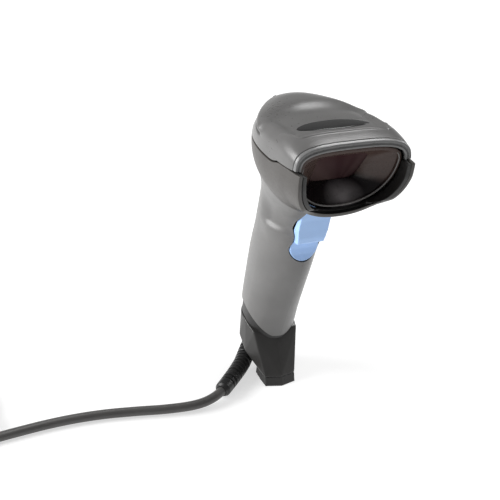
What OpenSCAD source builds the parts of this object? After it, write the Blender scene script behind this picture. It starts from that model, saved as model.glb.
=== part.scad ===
// Corded handheld barcode scanner, standing on the foot of its handle.
// Units are millimetres. X is sideways, -Y is the way the window faces, +Z is up.
// The origin is the centre of the flat foot under the handle.

/* [Head] */
// Greatest width of the head
head_w = 66; // [62:1:70]
// Height of the crown above the foot
head_top = 163.5; // [161:0.5:166]
// How far the mouth stands in front of the origin
head_front = 42; // [41:0.5:44]
// How far the back of the head stands behind the origin
head_rear = 33.5; // [33:0.5:36]
// Depth of the dish in the top
dish_depth = 2.2; // [1:0.1:2.6]

/* [Housing] */
// Wall of the moulded covers
wall = 2; // [1.8:0.1:2.2]
// Open line between neighbouring covers
seam = 0.35; // [0.25:0.05:0.5]

/* [Trigger] */
// Diameter of the trigger pin
trigger_pin_d = 2; // [1.6:0.1:2.2]

/* [Cord] */
// Diameter of the cord
cord_d = 5; // [4.6:0.1:5.2]

/* [Hidden] */

// ---- curves -------------------------------------------------------------------------------------

function clamp01(t) = max(0, min(1, t));
function ease(t) = let (c = clamp01(t)) c * c * (3 - 2 * c);

// A smooth curve through [position, value] pairs.
function slope(p, i) =
    let (a = max(i - 1, 0), b = min(i + 1, len(p) - 1)) (p[b][1] - p[a][1]) / (p[b][0] - p[a][0]);
function span(t, p) = max([0, for (k = [1 : len(p) - 2]) if (t >= p[k][0]) k]);
function curve(t, p) =
    let (
        i = span(t, p),
        h = p[i + 1][0] - p[i][0],
        s = clamp01((t - p[i][0]) / h),
        s2 = s * s,
        s3 = s2 * s
    )
    (2 * s3 - 3 * s2 + 1) * p[i][1] + (s3 - 2 * s2 + s) * h * slope(p, i)
    + (3 * s2 - 2 * s3) * p[i + 1][1] + (s3 - s2) * h * slope(p, i + 1);

// Reach of a unit superellipse in the direction of ang.
function reach(ang, n) = pow(pow(abs(cos(ang)), n) + pow(abs(sin(ang)), n), -1 / n);

// ---- meshes from grids of points ----------------------------------------------------------------

function flat(lists) = [for (l = lists) each l];

// Triangles of a grid of rows of m points, starting at index base.
function grid(m, rows, loop, base, flip) =
    flat([for (j = [0 : rows - 2], i = [0 : m - (loop ? 1 : 2)])
        let (
            a = base + j * m + i,
            b = base + j * m + (i + 1) % m,
            c = b + m,
            d = a + m
        )
        flip ? [[a, c, b], [a, d, c]] : [[a, b, c], [a, c, d]]]);

// Triangles that join the edge of one grid to the edge of another.
function rim(edge_a, edge_b, flip) =
    flat([for (k = [0 : len(edge_a) - 2])
        let (a = edge_a[k], b = edge_a[k + 1], c = edge_b[k + 1], d = edge_b[k])
        flip ? [[a, c, b], [a, d, c]] : [[a, b, c], [a, c, d]]]);

// A closed wall between two grids of the same size. Rows run along the part, and loop joins
// each row's ends.
module wall_between(outer, inner, loop = false, flip = false) {
    m = len(outer[0]);
    rows = len(outer);
    n = m * rows;
    row_ids = [for (i = [0 : m - 1]) i];
    last_ids = [for (i = row_ids) i + n - m];
    ends = loop ? concat(row_ids, [0]) : row_ids;
    ends_last = loop ? concat(last_ids, [n - m]) : last_ids;
    side_a = [for (j = [0 : rows - 1]) j * m];
    side_b = [for (j = [0 : rows - 1]) j * m + m - 1];
    polyhedron(concat(flat(outer), flat(inner)), concat(
        grid(m, rows, loop, 0, flip),
        grid(m, rows, loop, n, !flip),
        rim(ends, [for (i = ends) i + n], !flip),
        rim(ends_last, [for (i = ends_last) i + n], flip),
        loop ? [] : rim(side_a, [for (i = side_a) i + n], flip),
        loop ? [] : rim(side_b, [for (i = side_b) i + n], !flip)
    ));
}

// A closed solid through rings of the same number of points, with flat ends.
module loft(rings, flip = false) {
    m = len(rings[0]);
    rows = len(rings);
    low = [for (i = [1 : m - 2]) flip ? [0, i, i + 1] : [0, i + 1, i]];
    high = [for (t = low) [for (k = [2 : -1 : 0]) t[k] + m * (rows - 1)]];
    polyhedron(flat(rings), concat(grid(m, rows, true, 0, flip), low, high));
}

// ---- tubes along a route ------------------------------------------------------------------------

function unit(v) = v / norm(v);
// Catmull-Rom points along a route, k to each stretch.
function smooth_route(p, k) = concat(
    [for (i = [0 : len(p) - 2], j = [0 : k - 1])
        let (
            t = j / k,
            a = p[max(i - 1, 0)],
            b = p[i],
            c = p[i + 1],
            d = p[min(i + 2, len(p) - 1)]
        )
        0.5 * (2 * b + t * (c - a) + t * t * (2 * a - 5 * b + 4 * c - d)
            + t * t * t * (3 * b - a - 3 * c + d))],
    [p[len(p) - 1]]);
function heading(p, i) = unit(p[min(i + 1, len(p) - 1)] - p[max(i - 1, 0)]);
// Side vectors carried along a route without twist.
function carried(p, i = 0, last = [0, 1, 0]) =
    i >= len(p) ? [] :
    let (t = heading(p, i), side = unit(last - t * (last * t)))
    concat([side], carried(p, i + 1, side));

module tube(route, radii, sides) {
    normals = carried(route);
    loft([for (i = [0 : len(route) - 1])
        let (t = heading(route, i), a = normals[i], b = cross(t, a))
        [for (s = [0 : sides - 1]) let (q = -360 * s / sides)
            route[i] + radii[i] * (a * cos(q) + b * sin(q))]]);
}

module bar(size, centre) {
    translate(centre) cube(size, center = true);
}

module rod_x(r, x0, x1, y, z) {
    translate([x0, y, z]) rotate([0, 90, 0]) cylinder(h = x1 - x0, r = r, $fn = 32);
}

module rod_y(r, y0, y1, x, z, sides = 32) {
    translate([x, y1, z]) rotate([90, 0, 0]) cylinder(h = y1 - y0, r = r, $fn = sides);
}

// ---- the head's outer form ----------------------------------------------------------------------

half_w = head_w / 2;
dome_start = -12;
WIDE = [[-head_front, half_w - 1.3], [-36, half_w - 0.4], [-28, half_w], [dome_start, half_w - 0.4],
    [40, half_w - 1]];
CROWN = [[-head_front, head_top - 2.3], [-34, head_top - 0.9], [-24, head_top], [dome_start, head_top - 1],
    [10, head_top - 2.1], [40, head_top - 3]];
BELLY = [[-head_front, 119.5], [-36, 118.5], [-26, 115], [dome_start, 112], [40, 113]];
WAIST = [[-head_front, 148.5], [dome_start, 147.5], [10, 144.2], [40, 138.2]];
CROWN_POWER = [[-head_front, 3.7], [dome_start, 3.1], [20, 2], [40, 2.6]];
BELLY_POWER = [[-head_front, 2.2], [dome_start, 2.2], [40, 1.9]];
// Where the upper and lower covers meet, as an angle of the section.
SEAM_ANGLE = [[-head_front, 10], [-34, 5], [-26, 1], [-20, -3], [-12, -4], [10, -2], [40, 0]];

// Point of the head's surface, sunk by t. ang goes round the section from +X over the top, and
// u goes from -1 at the mouth, through 0, to 1 at the back.
function head_point(ang, u, t = 0) =
    let (
        front = u < 0,
        v = front ? dome_start + u * (head_front + dome_start)
            : dome_start + (head_rear - t - dome_start) * sin(90 * u),
        narrow = front ? 1 : cos(90 * u),
        low = front ? 1 : pow(1 - pow(sin(90 * u), 2.8), 1 / 2.8),
        waist = curve(v, WAIST),
        up = sin(ang) >= 0,
        n = curve(v, up ? CROWN_POWER : BELLY_POWER),
        h = low * (up ? curve(v, CROWN) - waist - t : waist - curve(v, BELLY) - t),
        w = narrow * (curve(v, WIDE) - t),
        r = reach(ang, n),
        x = w * r * cos(ang),
        z = waist + h * r * sin(ang),
        lean = (z < 150 ? 0.2 * (150 - z) : 0.15 * (z - 150)) - 1.2 * pow(x / half_w, 2) + 2,
        k = front ? u * u : 0
    )
    [x, v + k * lean, z];
function head_v(u) = u < 0 ? dome_start + u * (head_front + dome_start)
    : dome_start + (head_rear - dome_start) * sin(90 * u);
function head_u(v) = (v - dome_start) / (head_front + dome_start);
function seam_at(u) = curve(head_v(u), SEAM_ANGLE);

dish_centre = [0, -3];
dish_half = [26.5, 25];
function dish_level(x, y) = pow(pow(abs(x - dish_centre[0]) / dish_half[0], 3)
    + pow(abs(y - dish_centre[1]) / dish_half[1], 3), 1 / 3);
function dished(p, depth) = [p[0], p[1], p[2] - depth * ease((1.02 - dish_level(p[0], p[1])) / 0.14)];

// Rows of points over the upper part of the head between two places along it.
function upper_rows(u0, u1, rows, cols, t, gap) = [for (j = [0 : rows - 1])
    let (u = u0 + (u1 - u0) * j / (rows - 1), a = seam_at(u) + gap)
    [for (i = [0 : cols - 1])
        let (p = head_point(a + (180 - 2 * a) * i / (cols - 1), u, t))
        p[2] > 150 ? dished(p, dish_depth) : p]];
// How far the lower lip stands ahead of the mouth at each height. Its cheeks stand out furthest.
LIP = [[118, 1.6], [124, 1.6], [126.5, 3.2], [130, 5.7], [142, 5.9], [146, 5.1], [151, 4]];
lip_depth = 9;
function lip_ahead(z, u) = curve(z, LIP) * ease((dome_start + 30 * u - lip_depth + head_front) / -lip_depth);
// The same under the head, from the left seam round the belly to the right one. shift moves the
// rows forward, by one amount at the cheeks and another under the chin.
function lower_rows(u0, u1, rows, cols, t, gap, shift = [0, 0]) = [for (j = [0 : rows - 1])
    let (u = u0 + (u1 - u0) * j / (rows - 1), a = seam_at(u) - gap)
    [for (i = [0 : cols - 1])
        let (
            p = head_point(180 - a + (180 + 2 * a) * i / (cols - 1), u, t),
            cheek = ease((p[2] - 124) / 5),
            more = j == 0 ? shift[0] * cheek + shift[1] * (1 - cheek) : 0
        )
        p - [0, u < 0 ? lip_ahead(p[2], u) + more : 0, 0]]];
seam_angle_gap = seam / 33 * 57.3;
bezel_depth = 2.2;
bezel_u = head_u(-head_front + bezel_depth);
cover_u = head_u(-head_front + bezel_depth + seam);
bumper_u = head_u(-head_front + 5);
last_u = 0.985;

module top_cover() {
    color([0.44, 0.43, 0.42]) wall_between(
        upper_rows(cover_u, last_u, 27, 33, 0, 0),
        upper_rows(cover_u, last_u, 27, 33, wall, 0));
}

module window_bezel() {
    color([0.47, 0.46, 0.45]) wall_between(
        upper_rows(-1, bezel_u, 4, 33, -0.15, 0),
        upper_rows(-1, bezel_u, 4, 33, 3.2, 0));
}

// The lower shell is a bowl with a way down into the handle and room for the trigger's top.
module lower_shell() {
    color([0.4, 0.37, 0.36]) difference() {
        wall_between(
            lower_rows(-1, last_u, 25, 31, 0, seam_angle_gap),
            lower_rows(-1, last_u, 25, 31, wall, seam_angle_gap));
        translate([0, 0, 105]) linear_extrude(20)
            polygon([[7, 22], [-7, 22], [-13, 14], [-14, -15], [-9.3, -18.8], [9.3, -18.8], [14, -15],
                [13, 14]]);
    }
}

// A rubber lining behind the lip, proud of it at the cheeks.
module nose_bumper() {
    color([0.16, 0.15, 0.15]) wall_between(
        lower_rows(-1, bumper_u, 4, 41, wall + 0.25, 2 * seam_angle_gap, [0.5, -1]),
        lower_rows(-1, bumper_u, 4, 41, wall + 2.3, 2 * seam_angle_gap, [0.5, -1]));
}

// ---- window and shroud --------------------------------------------------------------------------

// The window stands at a slant, its foot deeper in the mouth than its top.
window_foot = [-22, 132.5];
window_head = [-31, 151.5];
window_half = [12.6, 14.6];
window_run = window_head - window_foot;
window_len = norm(window_run);

function shroud_ring(u, t, n) = [for (i = [0 : n - 1]) head_point(90 + 360 * i / n, u, t)];
// A point on the window's rounded outline, seen from the mouth, grown by g and pushed back by d.
function window_point(ang, g, d) =
    let (
        r = reach(ang, 7),
        s = sin(ang) * r,
        half = window_half[0] + (window_half[1] - window_half[0]) * (s + 1) / 2 + g,
        along = (window_len / 2 + g) * s,
        mid = (window_foot + window_head) / 2,
        dir = window_run / window_len
    )
    [half * cos(ang) * r, mid[0] + dir[0] * along + d * dir[1], mid[1] + dir[1] * along - d * dir[0]];
function window_ring(n, g, d) = [for (i = [0 : n - 1]) window_point(90 + 360 * i / n, g, d)];
function between(a, b, k) = [for (i = [0 : len(a) - 1]) a[i] + (b[i] - a[i]) * k];

// A short rim, then a funnel that narrows to the window.
module optics_shroud() {
    n = 40;
    rim_u = head_u(-head_front + 2.2);
    neck_u = head_u(-head_front + 4.4);
    mouth = [for (u = [rim_u, neck_u]) shroud_ring(u, 6.2, n)];
    mouth_out = [for (u = [rim_u, neck_u]) shroud_ring(u, 5.1, n)];
    far = window_ring(n, -0.6, -0.2);
    far_out = window_ring(n, 1, -0.2);
    color([0.13, 0.12, 0.12]) wall_between(
        concat(mouth_out, [for (k = [1 : 3]) between(mouth_out[1], far_out, k / 3)]),
        concat(mouth, [for (k = [1 : 3]) between(mouth[1], far, k / 3)]),
        loop = true);
}

module scan_window() {
    color([0.3, 0.07, 0.08, 0.5]) loft([window_ring(32, 1.1, 0.05), window_ring(32, 1.1, 1.1)]);
}

module window_gasket() {
    color([0.08, 0.08, 0.08]) wall_between(
        [for (d = [1.15, 1.9]) window_ring(32, 1.1, d)],
        [for (d = [1.15, 1.9]) window_ring(32, -0.7, d)],
        loop = true);
}

// ---- imager -------------------------------------------------------------------------------------

lens_axis = 141;
chassis_y = [-15, 3];
barrel_r = 4;
board_t = 1.6;

module imager_chassis() {
    mid_y = (chassis_y[0] + chassis_y[1]) / 2;
    color([0.2, 0.2, 0.22]) difference() {
        bar([26, chassis_y[1] - chassis_y[0], 18], [0, mid_y, lens_axis]);
        rod_y(barrel_r, chassis_y[0] - 1, chassis_y[0] + 9, 0, lens_axis);
        rod_y(3, chassis_y[0], chassis_y[1] - 2.5, 0, lens_axis);
        bar([9, 5, 9], [0, chassis_y[1], lens_axis]);
        for (side = [-1, 1]) rod_y(2.6, chassis_y[0] - 1, chassis_y[0] + 6, side * 9, lens_axis);
        rod_y(1.6, chassis_y[0] - 1, chassis_y[0] + 6, 0, lens_axis - 6.5);
    }
}

module lens_barrel() {
    color([0.1, 0.1, 0.1]) difference() {
        rod_y(barrel_r, chassis_y[0] - 4, chassis_y[0] + 9, 0, lens_axis);
        rod_y(2.8, chassis_y[0] - 5, chassis_y[0] - 1.5, 0, lens_axis);
        rod_y(2.2, chassis_y[0] - 5, chassis_y[0] + 10, 0, lens_axis);
    }
}

// A thick lens with a curved front, seated in the barrel's mouth.
module imager_lens() {
    bulge_r = 4.5;
    back_y = chassis_y[0] - 1.5;
    color([0.75, 0.85, 0.9, 0.5]) translate([0, back_y, lens_axis]) rotate([90, 0, 0])
        rotate_extrude($fn = 48) polygon(concat([[0, 0], [2.8, 0]],
            [for (k = [0 : 8]) let (q = 38.5 * (1 - k / 8))
                [bulge_r * sin(q), bulge_r * (cos(q) - cos(38.5)) + 1]]));
}

module image_sensor() {
    color([0.12, 0.14, 0.2]) bar([7.5, 1.4, 7.5], [0, chassis_y[1] - 0.7, lens_axis]);
}

module imager_board() {
    color([0.05, 0.3, 0.16]) bar([26, board_t, 20], [0, chassis_y[1] + board_t / 2, lens_axis]);
}

module led_dome(r, x, z) {
    translate([x, chassis_y[0] + 6, z]) rotate([90, 0, 0])
        rotate_extrude($fn = 32) polygon(concat([[0, 0], [r, 0]],
            [for (k = [0 : 6]) let (q = 15 * k) [r * cos(q), 4.4 + r * sin(q)]]));
}

module illumination_leds() {
    color([0.95, 0.9, 0.8, 0.8]) for (side = [-1, 1]) led_dome(2.6, side * 9, lens_axis);
}

module aiming_led() {
    color([0.9, 0.2, 0.2, 0.8]) led_dome(1.6, 0, lens_axis - 6.5);
}

// ---- top indicator ------------------------------------------------------------------------------

lens_centre = [0, -17.2];
lens_half = [21, 6];
function crown_z(x, y) =
    let (
        u = head_u(y - 0.3),
        v = head_v(u),
        n = curve(v, CROWN_POWER),
        waist = curve(v, WAIST),
        w = curve(v, WIDE)
    )
    waist + (curve(v, CROWN) - waist) * pow(1 - pow(abs(x) / w, n), 1 / n);
// The lens follows the dish floor, and its top is a low dome.
lens_floor = dish_depth - 0.5;
lens_edge = 0.35;
lens_dome = 0.65;
function lens_grid(edge, dome) = [for (j = [0 : 8])
    [for (i = [0 : 28])
        let (
            sx = 1.1 * (i / 14 - 1),
            sy = 1.1 * (j / 4 - 1),
            x = lens_centre[0] + lens_half[0] * sx,
            y = lens_centre[1] + lens_half[1] * sy
        )
        [x, y, crown_z(x, y) - lens_floor + edge + dome * (1 - min(1, sx * sx + sy * sy))]]];
module indicator_lens() {
    color([0.12, 0.12, 0.13]) intersection() {
        wall_between(lens_grid(lens_edge, lens_dome), lens_grid(0, 0), flip = true);
        translate([lens_centre[0], lens_centre[1], 150]) linear_extrude(20)
            polygon([for (k = [0 : 47]) [lens_half[0] * cos(7.5 * k), lens_half[1] * sin(7.5 * k)]]);
    }
}

module indicator_board() {
    color([0.05, 0.3, 0.16]) bar([30, 12, 1], [0, -18, 154.5]);
}

module status_led() {
    color([0.5, 0.9, 0.5]) bar([3.2, 2, 1.4], [0, -18, 155.7]);
}

// ---- handle -------------------------------------------------------------------------------------

// Half width, front and back of the handle's section at each height.
GRIP_HALF = [[18, 14.6], [58, 14.6], [83, 15.6], [95, 16.8], [105, 17.6], [112, 18.6], [119, 21.2],
    [124, 23.5]];
GRIP_FRONT = [[18, 2.6], [25, 0.9], [40, -2.4], [58, -7], [70, -9.7], [83, -11.6], [95, -14.4],
    [105, -18], [112, -22], [119, -27], [124, -31]];
GRIP_BACK = [[18, 30.6], [30, 32.4], [45, 33.7], [70, 33.2], [95, 27.6], [119, 25], [124, 24.6]];
GRIP_WAIST = [[18, 14], [40, 14], [60, 12], [83, 9.6], [105, 6], [119, 2], [124, 0]];
GRIP_POWER = [[18, 1.7], [60, 1.75], [83, 1.85], [100, 2], [119, 2.3]];

// Point of the handle's surface, sunk by t. ang is -90 at the front and 90 at the back.
function grip_point(ang, z, t = 0) =
    let (
        waist = curve(z, GRIP_WAIST),
        ahead = sin(ang) < 0,
        n = ahead ? curve(z, GRIP_POWER) : 2.1,
        d = ahead ? waist - curve(z, GRIP_FRONT) - t : curve(z, GRIP_BACK) - waist - t,
        r = reach(ang, n)
    )
    [(curve(z, GRIP_HALF) - t) * r * cos(ang), waist + d * r * sin(ang), z];
// The covers end on a line that climbs from the toe round to the back.
function climb(y) = sin(90 * clamp01((y - 1) / 18));
function grip_foot(ang) = 25.2 + 12.8 * climb(grip_point(ang, 28)[1]);
function band_foot(ang) = 22.2 + 7.6 * climb(grip_point(ang, 28)[1]);

// The head's underside over a point of the plan.
function belly_z(x, y) =
    let (
        ahead = y < dome_start,
        v = ahead ? y - 8 * pow((y - dome_start) / 30, 2) : y,
        s = ahead ? 0 : (y - dome_start) / (head_rear - dome_start),
        n = curve(v, BELLY_POWER),
        waist = curve(v, WAIST),
        w = curve(v, WIDE) * sqrt(1 - s * s),
        h = (waist - curve(v, BELLY)) * pow(1 - pow(s, 2.8), 1 / 2.8)
    )
    waist - h * pow(max(0, 1 - pow(abs(x) / w, n)), 1 / n);
// Where the handle's surface meets the head, found by stepping up to it.
function grip_head(ang, t, z = 114, steps = 5) =
    steps == 0 ? z : let (p = grip_point(ang, z, t)) grip_head(ang, t, belly_z(p[0], p[1]), steps - 1);
// Half the handle's width at a place across it.
function grip_x(y, z, t = 0) =
    let (
        waist = curve(z, GRIP_WAIST),
        n = y < waist ? curve(z, GRIP_POWER) : 2.1,
        d = (y < waist ? waist - curve(z, GRIP_FRONT) : curve(z, GRIP_BACK) - waist) - t
    )
    (curve(z, GRIP_HALF) - t) * pow(max(0, 1 - pow(abs(y - waist) / d, n)), 1 / n);

trigger_pivot = [-12, 116];
trigger_gap = 0.5;

function grip_rows(rows, cols, t) = [for (j = [0 : rows - 1])
    [for (i = [0 : cols - 1])
        let (ang = -90 + 180 * i / (cols - 1), foot = grip_foot(ang), top = grip_head(ang, t) - seam)
        grip_point(ang, foot + (top - foot) * j / (rows - 1), t)]];

// The outline of the trigger seen from the front, grown by g.
nub_centre = 86.9;
nub_r = 8;
pad_half = 8.6;
module trigger_outline(g, top) {
    polygon(concat(
        [[pad_half + g, top], [-pad_half - g, top], [-pad_half - g, 100], [-7.6 - g, 93]],
        [for (k = [0 : 12]) let (q = 160 + 220 * k / 12)
            [(nub_r + g) * cos(q), nub_centre + (nub_r + g) * sin(q)]],
        [[7.6 + g, 93], [pad_half + g, 100]]));
}

// Where each handle screw crosses, in y and z.
SCREWS = [[15, 108], [19, 70], [9, 46]];
boss_r = 3.2;
screw_r = 1.2;
thread_end = -9;
function boss_reach(s) = grip_x(s[0] + (s[0] > 10 ? boss_r : -boss_r), s[1]) - 0.8;
function screw_seat(s) = grip_x(s[0], s[1]) - 3.4;

module handle_half(side) {
    split = seam / 2;
    difference() {
        union() {
            mirror([side < 0 ? 1 : 0, 0, 0]) {
                wall_between(grip_rows(23, 19, 0), grip_rows(23, 19, wall), flip = true);
                for (s = SCREWS) rod_x(boss_r, split, boss_reach(s), s[0], s[1]);
                bar([1.8, 5, 9.2], [10.4, trigger_pivot[0], trigger_pivot[1] - 2.3]);
            }
        }
        translate([0, -4, 0]) rotate([90, 0, 0]) linear_extrude(40) trigger_outline(trigger_gap, 130);
        rod_x(trigger_pin_d / 2, -12, 12, trigger_pivot[0], trigger_pivot[1]);
        for (s = SCREWS) {
            if (side > 0) {
                rod_x(screw_r + 0.2, -1, 20, s[0], s[1]);
                rod_x(2.8, screw_seat(s), 25, s[0], s[1]);
            } else {
                rod_x(screw_r, thread_end - 0.5, 1, s[0], s[1]);
            }
        }
    }
}

module handle_left() {
    color([0.5, 0.49, 0.48]) handle_half(-1);
}

module handle_right() {
    color([0.5, 0.49, 0.48]) handle_half(1);
}

module handle_screws() {
    color([0.7, 0.7, 0.7]) for (s = SCREWS) difference() {
        union() {
            rod_x(screw_r, thread_end, screw_seat(s), s[0], s[1]);
            rod_x(2.4, screw_seat(s), screw_seat(s) + 1.6, s[0], s[1]);
        }
        translate([screw_seat(s) + 0.7, s[0], s[1]]) rotate([0, 90, 0]) {
            bar([2.8, 0.6, 2], [0, 0, 1]);
            bar([0.6, 2.8, 2], [0, 0, 1]);
        }
    }
}

// ---- trigger ------------------------------------------------------------------------------------

module side_profile(points, half) {
    rotate([90, 0, 90]) translate([0, 0, -half]) linear_extrude(2 * half) polygon(points);
}

module front_profile() {
    rotate([90, 0, 0]) linear_extrude(30) children();
}

switch_z = trigger_pivot[1] - 16;
plunger_tip = 1.6;
plunger_gap = 0.08;
boss_front = plunger_tip - plunger_gap;

module trigger() {
    pad = [[-17.2, 113], [-16, 106], [-15.5, 100], [-15.3, 95.5], [-14.8, 92.6], [-14.2, 91.8],
        [-10.6, 91.2], [-8, 92.4], [-10, 98], [-12, 104], [-13.2, 113]];
    nub = [[-10.8, 93], [-9.6, 89.5], [-9.3, 86], [-9.6, 82.5], [-10.5, 78.9], [-8.2, 78.7],
        [-7, 83], [-6.9, 93]];
    color([0.55, 0.69, 0.9]) difference() {
        union() {
            intersection() {
                side_profile(pad, 12);
                front_profile() trigger_outline(0, 119);
            }
            intersection() {
                side_profile(nub, 12);
                front_profile() translate([0, nub_centre]) circle(r = nub_r, $fn = 48);
            }
            side_profile([[-17.2, 112.6], [-12.6, 112.6], [-11, 118.8], [-15, 118.8]], 8.4);
            rod_x(2.8, -8.4, 8.4, trigger_pivot[0], trigger_pivot[1]);
            side_profile([[-13.5, switch_z - 5], [-13.5, switch_z + 6], [boss_front - 1, switch_z + 1.5],
                [boss_front - 1, switch_z - 1.5], [-8, switch_z - 6]], 1.5);
            rod_x(1, -1.5, 1.5, boss_front - 1, switch_z);
        }
        rod_x(trigger_pin_d / 2 + 0.05, -10, 10, trigger_pivot[0], trigger_pivot[1]);
    }
}

module trigger_pin() {
    color([0.75, 0.75, 0.78]) rod_x(trigger_pin_d / 2, -11.2, 11.2, trigger_pivot[0], trigger_pivot[1]);
}

// ---- electronics in the handle ------------------------------------------------------------------

board_y = 9;
switch_deep = 5.8;
pocket_deep = 3;

module trigger_switch() {
    color([0.1, 0.1, 0.12]) difference() {
        bar([12.8, switch_deep, 6], [0, board_y - switch_deep / 2, switch_z]);
        bar([3.2, 2 * pocket_deep, 2.2], [0, board_y - switch_deep, switch_z]);
    }
}

module switch_plunger() {
    color([0.8, 0.3, 0.2]) bar([3, 3, 2], [0, plunger_tip + 1.5, switch_z]);
}

module main_board() {
    color([0.05, 0.3, 0.16]) bar([22.4, board_t, 54], [0, board_y + board_t / 2, 87]);
}

module processor_shield() {
    color([0.78, 0.78, 0.76]) bar([17, 2.6, 16], [0, board_y + board_t + 1.3, 95]);
}

module beeper() {
    y0 = board_y + board_t;
    color([0.08, 0.08, 0.08]) difference() {
        rod_y(6, y0, y0 + 6, 0, 80);
        rod_y(1.2, y0 + 5, y0 + 7, 0, 80);
    }
}

// A thin flat cable folded from the imager board down to the main board.
module flex_cable() {
    t = 0.3;
    x0 = chassis_y[1] + board_t;
    color([0.75, 0.5, 0.2]) side_profile([
        [x0, 137], [x0 + t, 137], [x0 + t, 129], [x0 + 3, 124], [board_y + board_t + t, 119],
        [board_y + board_t + t, 108], [board_y + board_t, 108], [board_y + board_t, 119],
        [x0 + 3 - t, 124 - t], [x0, 129 - t]], 5);
}

// ---- foot of the handle -------------------------------------------------------------------------

port = [0, 22];
port_size = [12.6, 11.4];

function band_ring(ang_n, z_of, t) = [for (i = [0 : ang_n - 1])
    let (a = -90 + 360 * i / ang_n, q = a > 90 ? 180 - a : a, p = grip_point(q, z_of(q), t))
    [a > 90 ? -p[0] : p[0], p[1], p[2]]];

// The dark band's outer and inner faces, sunk below the handle's surface.
ring_t = [0.9, 2.7];
band_count = 40;
function band(up, t) = band_ring(band_count, function(q) band_foot(q) + up, t);
function band_top(t) = band_ring(band_count, function(q) grip_foot(q) - 0.25, t);

module base_ring() {
    color([0.12, 0.11, 0.12]) wall_between(
        [band(0.02, ring_t[0]), band_top(ring_t[0])],
        [band(0.02, ring_t[1]), band_top(ring_t[1])],
        loop = true, flip = true);
}

sole_front = -10.2;
FOOT = [[0, sole_front], [8.7, -8.1], [8.9, -3], [8.2, 5], [5, 10], [-5, 10], [-8.2, 5], [-8.9, -3],
    [-8.7, -8.1]];
pad_height = 4.6;

// The boot tapers from the ring down to the sole.
module base_boot() {
    corners = [[15, 8.4, 13.5], [14.9, 17, 18.5], [9, 27, 22.5], [12.8, 5.8, 26.2]];
    points = concat(
        band_ring(32, function(q) band_foot(q), 0.4),
        [for (c = corners, s = [-1, 1]) [s * c[0], c[1], c[2]]],
        [for (p = FOOT) [p[0] * 1.01, p[1] + (p[1] < 0 ? 1.7 : 0), pad_height]],
        [[0, 29.6, 23]]);
    color([0.2, 0.19, 0.2]) difference() {
        hull() polyhedron(points, [for (k = [0 : len(points) - 3]) [k, k + 1, k + 2]]);
        wall_between([band(0, ring_t[0] - 0.1), band(15, ring_t[0] - 0.1)],
            [band(0, ring_t[1] + 0.3), band(15, ring_t[1] + 0.3)], loop = true, flip = true);
        loft([band(-1, ring_t[1] + 0.2), band(15, ring_t[1] + 0.2)], flip = true);
        bar([port_size[0], port_size[1], 60], [port[0], port[1], 30]);
    }
}

// The rubber sole, cupped on to the toe.
module sole_pad() {
    color([0.14, 0.13, 0.14]) hull() {
        linear_extrude(0.6) polygon(FOOT);
        translate([0, 0, pad_height - 0.61]) linear_extrude(0.6) polygon([for (p = FOOT)
            [p[0] * 1.01, p[1] + (p[1] < 0 ? 1.7 : 0)]]);
    }
}

// ---- cable connection ---------------------------------------------------------------------------

socket_z = [34, 52];

module cable_socket() {
    color([0.1, 0.1, 0.1]) difference() {
        bar([14, 12.6, socket_z[1] - socket_z[0]],
            [port[0], port[1] - 0.8, (socket_z[0] + socket_z[1]) / 2]);
        bar([12, 8.4, 34], [port[0], port[1], socket_z[0] - 3]);
    }
}

module socket_wires() {
    color([0.8, 0.2, 0.2]) for (k = [-2 : 2])
        translate([k * 1.6, 0, 0]) side_profile([[17, socket_z[1]], [17, 55], [11.2, 62], [11.2, 66],
            [10.6, 66], [10.6, 61.4], [16, 54.6], [16, socket_z[1]]], 0.5);
}

module modular_plug() {
    color([0.85, 0.85, 0.82, 0.6]) {
        bar([11.6, 8, 22.4], [port[0], port[1], 36.3]);
        side_profile([[port[1] + 4, 27], [port[1] + 5, 27], [port[1] + 5.7, 33.5], [port[1] + 5.2, 33.5],
            [port[1] + 4, 28.4]], 2.6);
    }
}

// The cord's way from the port down to the floor and off to the side.
ROUTE = [
    [0, 22, 25], [0, 22.5, 18], [-2, 22.5, 12.5], [-6, 19.5, 8], [-11, 14, 6], [-17, 7, 5.4],
    [-27, -2.5, 5.2], [-37, -11, 4.6], [-46, -15, 3.6], [-56, -16, 2.9], [-70, -14.5, 2.5],
    [-86, -11.8, 2.5], [-102, -9.6, 2.5], [-118, -8.8, 2.5], [-134, -9.4, 2.5], [-150, -11, 2.5],
    [-165, -12.8, 2.6], [-180, -13.8, 2.9], [-195, -14, 3.2]
];
relief_points = 8;
relief_r = [5, 4.2];

module strain_relief() {
    way = smooth_route([for (i = [0 : relief_points - 1]) ROUTE[i]], 7);
    last = len(way) - 1;
    plain = 11;
    radii = [for (i = [0 : last])
        let (taper = relief_r[0] + (relief_r[1] - relief_r[0]) * i / last)
        i < plain || i > last - 2 ? taper : taper - (i % 3 == 1 ? 0.9 : 0)];
    color([0.1, 0.1, 0.1]) tube(way, radii, 14);
}

module cord() {
    way = smooth_route([for (i = [relief_points - 1 : len(ROUTE) - 1]) ROUTE[i]], 3);
    color([0.25, 0.23, 0.24]) tube(way, [for (p = way) cord_d / 2], 10);
}

coil_centre = [-195, 26];
coil_r = [15, 40];
coil_base = 0.7;

module cord_coil() {
    inner = coil_r[0] - cord_d / 2;
    outer = coil_r[1] + cord_d / 2;
    high = 2 * cord_d;
    color([0.25, 0.23, 0.24]) translate([coil_centre[0], coil_centre[1], coil_base])
        rotate_extrude($fn = 72) polygon([[inner, 1], [inner + 1, 0], [outer - 1, 0], [outer, 1],
            [outer, high - 1], [outer - 1, high], [inner + 1, high], [inner, high - 1]]);
}

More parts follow.
